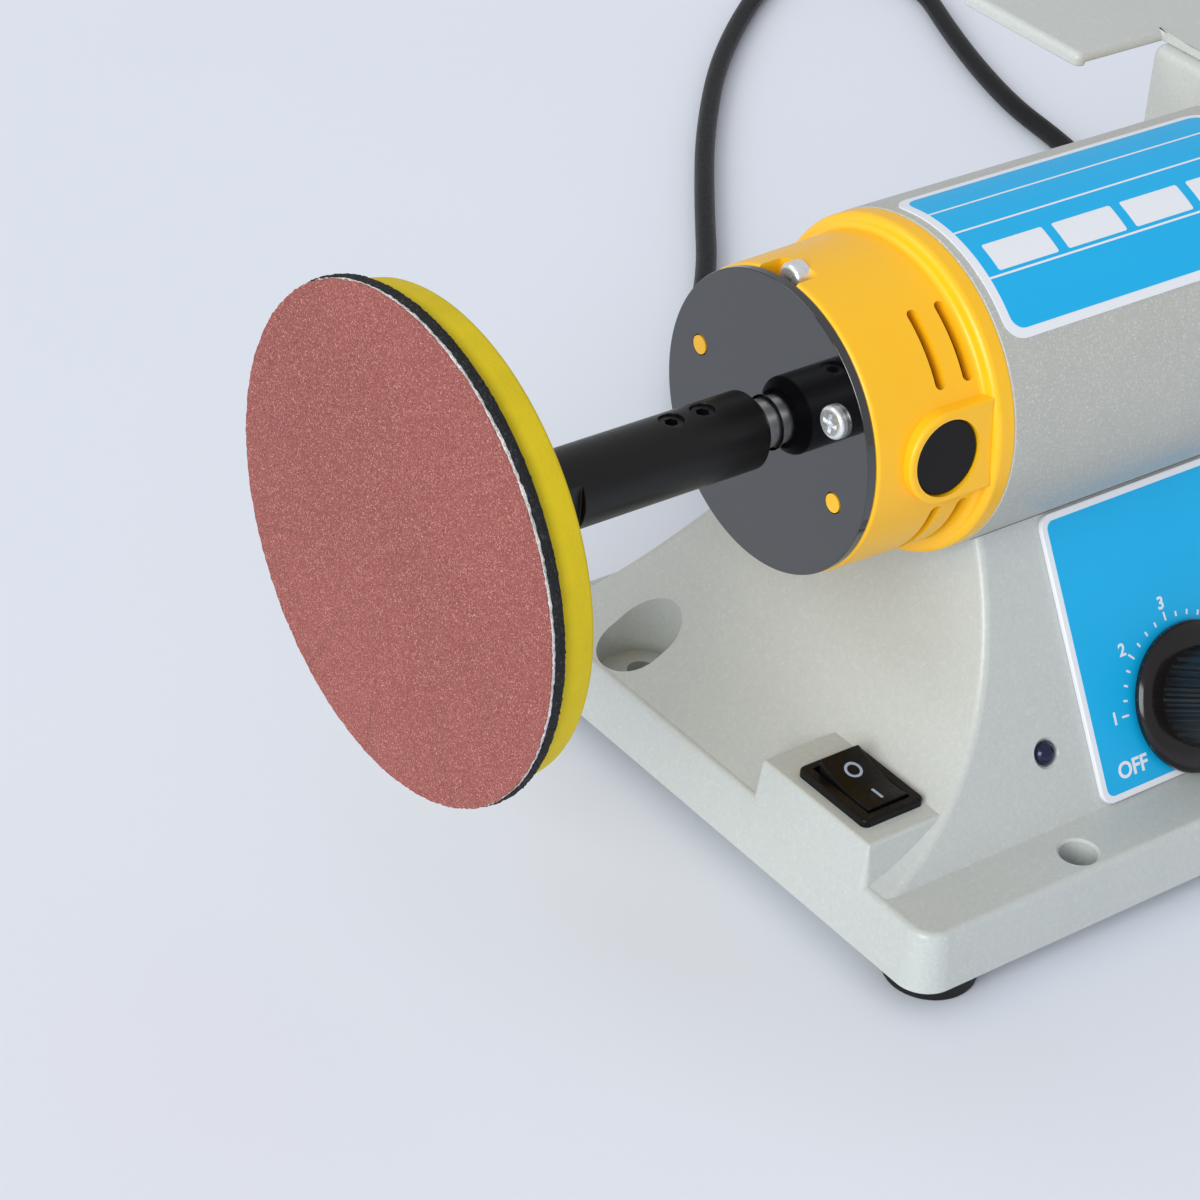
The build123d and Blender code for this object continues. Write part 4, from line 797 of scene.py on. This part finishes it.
def patch(mesh, x0, y0, x1, y1, corner=0.0):
    """Adds a flat rectangle with rounded corners, in millimetres."""
    size = Matrix.Diagonal((x1 - x0, y1 - y0, 1, 1))
    middle = Matrix.Translation(((x0 + x1) / 2, (y0 + y1) / 2, 0))
    made = bmesh.ops.create_grid(mesh, x_segments=1, y_segments=1, size=0.5, matrix=middle @ size)
    if corner:
        bmesh.ops.bevel(
            mesh,
            geom=made["verts"],
            offset=corner,
            affect="VERTICES",
            segments=CORNER_STEPS,
            profile=0.5,
            material=-1,
        )


def raised(mesh, thick):
    """Gives flat patches a thickness, in millimetres."""
    grown = bmesh.ops.extrude_face_region(mesh, geom=mesh.faces[:])
    moved = [part for part in grown["geom"] if isinstance(part, bmesh.types.BMVert)]
    bmesh.ops.translate(mesh, verts=moved, vec=(0, 0, thick))
    bmesh.ops.recalc_face_normals(mesh, faces=mesh.faces)


def set_at(mesh, place):
    """Moves a shape drawn in millimetres to its place."""
    bmesh.ops.transform(mesh, matrix=place @ Matrix.Scale(MM, 4), verts=mesh.verts)


def arc(angle):
    """Millimetres round the barrel from its front to an angle in degrees."""
    return radians(angle) * BARREL_R


def round_barrel(mesh, thick, radius):
    """Bends flat patches, x along the shaft and y round it, on to the barrel as a thin film."""
    for angle in BEND_ANGLES:
        bmesh.ops.bisect_plane(
            mesh,
            geom=mesh.verts[:] + mesh.edges[:] + mesh.faces[:],
            plane_co=(0, arc(angle), 0),
            plane_no=(0, 1, 0),
        )
    raised(mesh, thick)
    for knot in mesh.verts:
        angle = knot.co.y / BARREL_R
        reach = (radius + knot.co.z) * MM
        knot.co = (knot.co.x * MM, -reach * cos(angle), AXIS_Z + reach * sin(angle))


def eased(node_name, width):
    """A copy of a hard-edged solid whose edges are rounded over, as its making leaves them."""
    solid = frame["nodes"][node_name]
    mesh = bmesh.new()
    mesh.from_mesh(solid.data)
    bmesh.ops.remove_doubles(mesh, verts=mesh.verts, dist=MERGE)
    bmesh.ops.dissolve_limit(mesh, angle_limit=FLAT_ANGLE, verts=mesh.verts, edges=mesh.edges)
    finish = solid.material_slots[0].material
    thing = shown(node_name + "_eased", mesh, [finish], solid["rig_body"], smooth=180)
    rounding = thing.modifiers.new("rounded_edges", "BEVEL")
    rounding.width = width * MM
    rounding.segments = EASE_STEPS
    rounding.limit_method = "ANGLE"
    rounding.angle_limit = HARD_ANGLE
    rounding.use_clamp_overlap = False
    rounding.harden_normals = True
    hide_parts(node_name)


# Label on the barrel: white film, a blue field, dividing lines and four bare boxes
LABEL_CORNER = 4.5
label = bmesh.new()
patch(label, LABEL_X[0], arc(LABEL_A[0]), LABEL_X[1], arc(LABEL_A[1]), LABEL_CORNER)
round_barrel(label, LABEL_T, BARREL_R)
label_white = shown("label_white", label, [film_white], "stand")
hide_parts("motor_label")

# The border is in millimetres along the shaft and in degrees round the barrel
LABEL_BORDER_X = 1.9
LABEL_BORDER_A = 3.2
FIELD_X = (LABEL_X[0] + LABEL_BORDER_X, LABEL_X[1] - LABEL_BORDER_X)
FIELD_A = (LABEL_A[0] + LABEL_BORDER_A, LABEL_A[1] - LABEL_BORDER_A)
FIELD_CORNER = 3.0
field = bmesh.new()
patch(field, FIELD_X[0], arc(FIELD_A[0]), FIELD_X[1], arc(FIELD_A[1]), FIELD_CORNER)
round_barrel(field, INK_T, BARREL_R + LABEL_T)
label_blue = shown("label_blue", field, [film_blue], "stand")

DIVIDERS = (91.2, 79.0, 59.1)
DIVIDER_H = 0.45
BOXES = ((-40.6, -25.0), (-22.4, -6.8), (-4.2, 11.4), (14.0, 29.6))
BOX_A = (60.7, 71.3)
BOX_CORNER = 0.5
rows = bmesh.new()
for angle in DIVIDERS:
    patch(rows, FIELD_X[0], arc(angle) - DIVIDER_H / 2, FIELD_X[1], arc(angle) + DIVIDER_H / 2)
for left, right in BOXES:
    patch(rows, left, arc(BOX_A[0]), right, arc(BOX_A[1]), BOX_CORNER)
round_barrel(rows, INK_T, BARREL_R + LABEL_T + INK_T)
label_rows = shown("label_rows", rows, [film_white], "stand")

# Front panel: a blue field on the white plate, with a hole for the knob's shaft
PANEL_BORDER = 1.5
PANEL_CORNER = 1.8
PANEL_HOLE_R = 6.4
PANEL_HOLE_STEPS = 48
dial_middle = Matrix.Translation((0, -KNOB_DOWN, 0))
panel_edge = bmesh.new()
patch(
    panel_edge,
    -PANEL_W / 2 + PANEL_BORDER,
    -PANEL_TOP - PANEL_H + PANEL_BORDER,
    PANEL_W / 2 - PANEL_BORDER,
    -PANEL_TOP - PANEL_BORDER,
    PANEL_CORNER,
)
bmesh.ops.delete(panel_edge, geom=panel_edge.faces[:], context="FACES_ONLY")
bmesh.ops.create_circle(panel_edge, segments=PANEL_HOLE_STEPS, radius=PANEL_HOLE_R, matrix=dial_middle)
bmesh.ops.triangle_fill(panel_edge, edges=panel_edge.edges[:], use_beauty=True)
raised(panel_edge, INK_T)
set_at(panel_edge, on_face(0, PANEL_T, PANEL_X))
panel_blue = shown("panel_blue_field", panel_edge, [film_blue], "stand")

# Dial round the knob: ticks, longer at each figure; angles are in degrees from the right
DIAL_FROM = -24
DIAL_TO = 182
TICK_EVERY = 10
TICKS_PER_FIGURE = 4
TICK_R = 17.0
TICK_LONG = 1.9
TICK_SHORT = 1.1
TICK_HALF = 0.22
TICK_CORNER = 0.1
ticks = bmesh.new()
for step, angle in enumerate(range(DIAL_FROM, DIAL_TO, TICK_EVERY)):
    tick = bmesh.new()
    tick_length = TICK_SHORT if step % TICKS_PER_FIGURE else TICK_LONG
    patch(tick, TICK_R, -TICK_HALF, TICK_R + tick_length, TICK_HALF, TICK_CORNER)
    turn = dial_middle @ Matrix.Rotation(radians(angle), 4, "Z")
    bmesh.ops.transform(tick, matrix=turn, verts=tick.verts)
    added(ticks, tick)
raised(ticks, INK_T)
set_at(ticks, on_face(0, PANEL_T + INK_T, PANEL_X))
panel_ticks = shown("panel_ticks", ticks, [film_white], "stand")

# Figures and OFF: a capital's share of the letter size, and how far its strokes are thickened
CAPITAL_SHARE = 0.7
STROKE_SHARE = 0.035
OFF_HEIGHT = 3.3
OFF_AT = (-18.9, -56.6)
FIGURES = "654321"
FIGURE_HEIGHT = 2.6
FIGURE_R = 20.8


def printed(words, height, x, y):
    """Adds printed figures to the panel, centred at a place on the face, in millimetres."""
    letters = bpy.data.curves.new("print", "FONT")
    letters.body = words
    letters.size = height / CAPITAL_SHARE
    letters.align_x = "CENTER"
    letters.align_y = "CENTER"
    letters.offset = STROKE_SHARE * height
    letters.extrude = INK_T / 2
    held = bpy.data.objects.new("print", letters)
    bpy.context.scene.collection.objects.link(held)
    data = bpy.data.meshes.new_from_object(held.evaluated_get(bpy.context.evaluated_depsgraph_get()))
    bpy.data.objects.remove(held)
    mesh = bmesh.new()
    mesh.from_mesh(data)
    bpy.data.meshes.remove(data)
    bmesh.ops.remove_doubles(mesh, verts=mesh.verts, dist=MERGE)
    set_at(mesh, on_face(-y, PANEL_T + INK_T + INK_T / 2, PANEL_X + x))
    thing = shown("print_" + words, mesh, [film_white], "stand")


printed("OFF", OFF_HEIGHT, *OFF_AT)
for step, figure in enumerate(FIGURES):
    spot = radians(DIAL_FROM + TICKS_PER_FIGURE * TICK_EVERY * step)
    printed(figure, FIGURE_HEIGHT, FIGURE_R * cos(spot), -KNOB_DOWN + FIGURE_R * sin(spot))

# Speed knob: a bevelled skirt and a ribbed grip with a dished top
KNOB_SKIRT = [
    (3.05, 9.0),
    (3.05, 4.0),
    (9.0, 4.0),
    (9.0, 0.0),
    (15.3, 0.0),
    (15.85, 0.25),
    (16.0, 0.7),
    (15.9, 1.5),
    (15.4, 2.2),
    (14.8, 2.55),
    (13.0, 2.85),
    (10.8, 3.2),
    (8.0, 3.2),
    (8.0, 9.0),
]
RIBS = 30
KNOTS_PER_RIB = 4
RIB_CREST = (1, 2)
RIB_LOW = 10.15
RIB_HIGH = 10.75
GRIP_FOOT = 2.9
# How far each ring of the grip rises above the one before, and how much it shrinks
GRIP_RISES = ((11.6, 0.94), (0.9, 0.965), (0.35, 0.93), (-0.02, 0.86), (-0.5, 0.92))
knob = lathe(KNOB_SKIRT, ring=True)
ring = bmesh.ops.create_circle(
    knob,
    segments=RIBS * KNOTS_PER_RIB,
    radius=1,
    matrix=Matrix.Translation((0, 0, GRIP_FOOT)),
)["verts"]
for step, knot in enumerate(ring):
    reach = RIB_HIGH if step % KNOTS_PER_RIB in RIB_CREST else RIB_LOW
    knot.co.x *= reach
    knot.co.y *= reach
foot = list({edge for knot in ring for edge in knot.link_edges})
rim = foot
for rise, shrink in GRIP_RISES:
    grown = bmesh.ops.extrude_edge_only(knob, edges=rim)["geom"]
    knots = [part for part in grown if isinstance(part, bmesh.types.BMVert)]
    rim = [part for part in grown if isinstance(part, bmesh.types.BMEdge)]
    bmesh.ops.translate(knob, verts=knots, vec=(0, 0, rise))
    bmesh.ops.scale(knob, verts=knots, vec=(shrink, shrink, 1))
bmesh.ops.edgenet_fill(knob, edges=rim)
bmesh.ops.edgenet_fill(knob, edges=foot)
bmesh.ops.recalc_face_normals(knob, faces=knob.faces)
for face in knob.faces:
    middle = face.calc_center_median()
    if middle.z > GRIP_FOOT and middle.to_2d().length < RIB_HIGH:
        face.material_index = 1
set_at(knob, on_face(KNOB_DOWN, KNOB_BASE, PANEL_X))
speed_knob = shown("speed_knob_ribbed", knob, [abs_gloss, abs_grip], "knob", smooth=28)
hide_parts("speed_knob")

# Face screws: domed blued heads, sunk in the casting
FACE_SCREW_X = 37.6
FACE_SCREW_DOWN = 47.1
FACE_SCREW_SEAT = -0.6
DOME = [
    (0, 1.8),
    (0.6, 1.74),
    (1.2, 1.55),
    (1.7, 1.24),
    (2.1, 0.85),
    (2.4, 0.4),
    (2.5, 0),
    (1.45, 0),
    (1.45, -6),
    (0, -6),
]
screws = bmesh.new()
for side in (-1, 1):
    screw = lathe(DOME)
    set_at(screw, on_face(FACE_SCREW_DOWN, FACE_SCREW_SEAT, side * FACE_SCREW_X))
    added(screws, screw)
face_screws = shown("face_screws_domed", screws, [blued_steel], "stand", smooth=40)
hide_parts("face_screws")

# Rocker: a hollowed top with rounded edges, drawn from the side as (along, up) points
ROCKER_HALF = 5.1
ROCKER_EDGE = 0.55
ROCKER_EDGE_STEPS = 3
ROCKER_HARD_ANGLE = radians(40)
ROCKER_SIDE = [
    (-8.0, 3.5),
    (-5.4, 2.78),
    (-2.7, 2.34),
    (0, 2.2),
    (2.7, 2.34),
    (5.4, 2.78),
    (8.0, 3.5),
    (7.4, -1.5),
    (3, -4.5),
    (-3, -4.5),
    (-7.4, -1.5),
]
rocker_pivot = Matrix.Translation(point(SWITCH_X, SWITCH_Y, ROCKER_Z))
rocker_place = rocker_pivot @ Matrix.Rotation(ROCKER_TILT, 4, "X")
from_side = Matrix(((0, 0, 1, 0), (1, 0, 0, 0), (0, 1, 0, 0), (0, 0, 0, 1)))
rocker = bmesh.new()
rocker.faces.new([rocker.verts.new((u, v, -ROCKER_HALF)) for u, v in ROCKER_SIDE])
raised(rocker, 2 * ROCKER_HALF)
bmesh.ops.bevel(
    rocker,
    geom=[edge for edge in rocker.edges if edge.calc_face_angle(0) > ROCKER_HARD_ANGLE],
    offset=ROCKER_EDGE,
    affect="EDGES",
    segments=ROCKER_EDGE_STEPS,
    profile=0.5,
    material=-1,
)
set_at(rocker, rocker_place @ from_side)
switch_rocker = shown("switch_rocker_moulded", rocker, [abs_black], "rocker", smooth=30)
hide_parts("switch_rocker")

# Rocker marks: a ring at its raised end and a stroke at its pressed end, on the curve of its hollow
RING_RADII = (1.95, 1.35)
RING_STEPS = 40
RING_AT = 3.1
STROKE = (-0.32, -6.2, 0.32, -2.9)
STROKE_CORNER = 0.15
MARK_T = 0.03
MARK_LIFT = 0.02
HOLLOW_LOW = 2.2
HOLLOW_RISE = 1.3
HOLLOW_END = 8.0
marks = bmesh.new()
for radius in RING_RADII:
    bmesh.ops.create_circle(marks, segments=RING_STEPS, radius=radius)
bmesh.ops.bridge_loops(marks, edges=marks.edges[:])
bmesh.ops.translate(marks, verts=marks.verts, vec=(0, RING_AT, 0))
patch(marks, *STROKE, STROKE_CORNER)
raised(marks, MARK_T)
for knot in marks.verts:
    knot.co.z += HOLLOW_LOW + HOLLOW_RISE * (knot.co.y / HOLLOW_END) ** 2 + MARK_LIFT
set_at(marks, rocker_place)
shown("rocker_marks", marks, [mark_ink], "rocker")

# Foam pad with rounded rims and a bore for its insert
DISC_FACE = -168.0
DISC_BACK = -167.1
PAD_FRONT = -164.7
PAD_BACK = -157.0
PAD_BORE_R = 9.0
PAD_BORE_END = PAD_BACK - 7
pad = turned(
    [
        (PAD_FRONT, 0),
        (PAD_FRONT, 47.5),
        (PAD_FRONT + 0.15, 48.0),
        (PAD_FRONT + 0.5, 48.25),
        (PAD_FRONT + 0.9, 48.3),
        (PAD_FRONT + 3.4, 48.3),
        (PAD_FRONT + 3.8, 48.26),
        (PAD_BACK - 1.0, 47.74),
        (PAD_BACK - 0.6, 47.65),
        (PAD_BACK - 0.2, 47.4),
        (PAD_BACK, 46.9),
        (PAD_BACK, PAD_BORE_R),
        (PAD_BORE_END, PAD_BORE_R),
        (PAD_BORE_END, 0),
    ]
)
foam_pad = shown("foam_pad", pad, [pad_foam], "spindle", smooth=50)
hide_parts("backing_pad")

# Hook layer with a bristly, ruffled rim
hook = turned(
    [
        (DISC_BACK, 0),
        (DISC_BACK, 49.7),
        (DISC_BACK + 0.3, 50.1),
        (DISC_BACK + 0.9, 50.25),
        (DISC_BACK + 1.5, 50.2),
        (DISC_BACK + 2.1, 49.9),
        (PAD_FRONT, 49.4),
        (PAD_FRONT, 0),
    ],
    RIM_STEPS,
)
ruffled(hook, rim=49.8, size=0.55, depth=0.35)
hook_layer = shown("hook_nap", hook, [hook_nap], "spindle", smooth=60)
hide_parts("hook_layer")

# Sanding disc: grit on its face, and the pale cloth of its backing at its ragged cut edge
GRIT_T = 0.2
disc = turned(
    [
        (DISC_FACE, 0),
        (DISC_FACE, 49.85),
        (DISC_FACE + GRIT_T, 49.95),
        (DISC_FACE + 0.55, 49.98),
        (DISC_BACK, 49.8),
        (DISC_BACK, 0),
    ],
    RIM_STEPS,
)
ruffled(disc, rim=49.75, size=0.9, depth=0.3)
for face in disc.faces:
    if face.calc_center_median().x > (DISC_FACE + GRIT_T) * MM:
        face.material_index = 1
sanding_disc = shown("sanding_disc_grit", disc, [oxide_grit, cloth_backing], "spindle", smooth=50)
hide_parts("sanding_disc")

# Hard edges of plates, sheets, rod, plug and feet are rounded over by these widths
EASED = {
    "left_end_plate": 0.25,
    "right_end_plate": 0.25,
    "control_panel": 0.3,
    "adaptor_rod": 0.25,
    "rest_bracket": 0.5,
    "rest_table": 0.5,
    "plug_body": 0.7,
    "rubber_feet": 0.6,
}
for node_name, width in EASED.items():
    eased(node_name, width)

# Floor, in metres
FLOOR_R = 6
FLOOR_STEPS = 96
floor_mesh = bmesh.new()
bmesh.ops.create_circle(floor_mesh, cap_ends=True, segments=FLOOR_STEPS, radius=FLOOR_R)
floor_data = bpy.data.meshes.new("bench_top")
floor_mesh.to_mesh(floor_data)
floor_mesh.free()
floor_data.materials.append(white_laminate)
floor = bpy.data.objects.new("bench_top", floor_data)
bpy.context.scene.collection.objects.link(floor)

# Soft studio light: places and sizes in metres, power in watts
LIT_AT = (0, 0, 0.06)
LAMP_WHITE = "FAFFFD"
AIR_WHITE = "F2F3F7"
AIR_STRENGTH = 0.62


def softbox(name, at, size, power):
    """A square soft light at a place, turned to the object."""
    lamp = bpy.data.lights.new(name, "AREA")
    lamp.shape = "SQUARE"
    lamp.size = size
    lamp.energy = power
    lamp.color = tint(LAMP_WHITE)[:3]
    held = bpy.data.objects.new(name, lamp)
    held.location = at
    held.rotation_euler = (Vector(LIT_AT) - Vector(at)).to_track_quat("-Z", "Y").to_euler()
    bpy.context.scene.collection.objects.link(held)


softbox("key_from_left", at=(-7.5, -3.2, 3.7), size=5.0, power=575)
softbox("fill_from_back_left", at=(-5.0, 3.6, 4.8), size=4.0, power=95)

studio = bpy.data.worlds.new("studio_air")
studio.use_nodes = True
air = studio.node_tree.nodes["Background"]
air.inputs["Color"].default_value = tint(AIR_WHITE)
air.inputs["Strength"].default_value = AIR_STRENGTH
bpy.context.scene.world = studio
bpy.context.scene.view_settings.view_transform = "Standard"
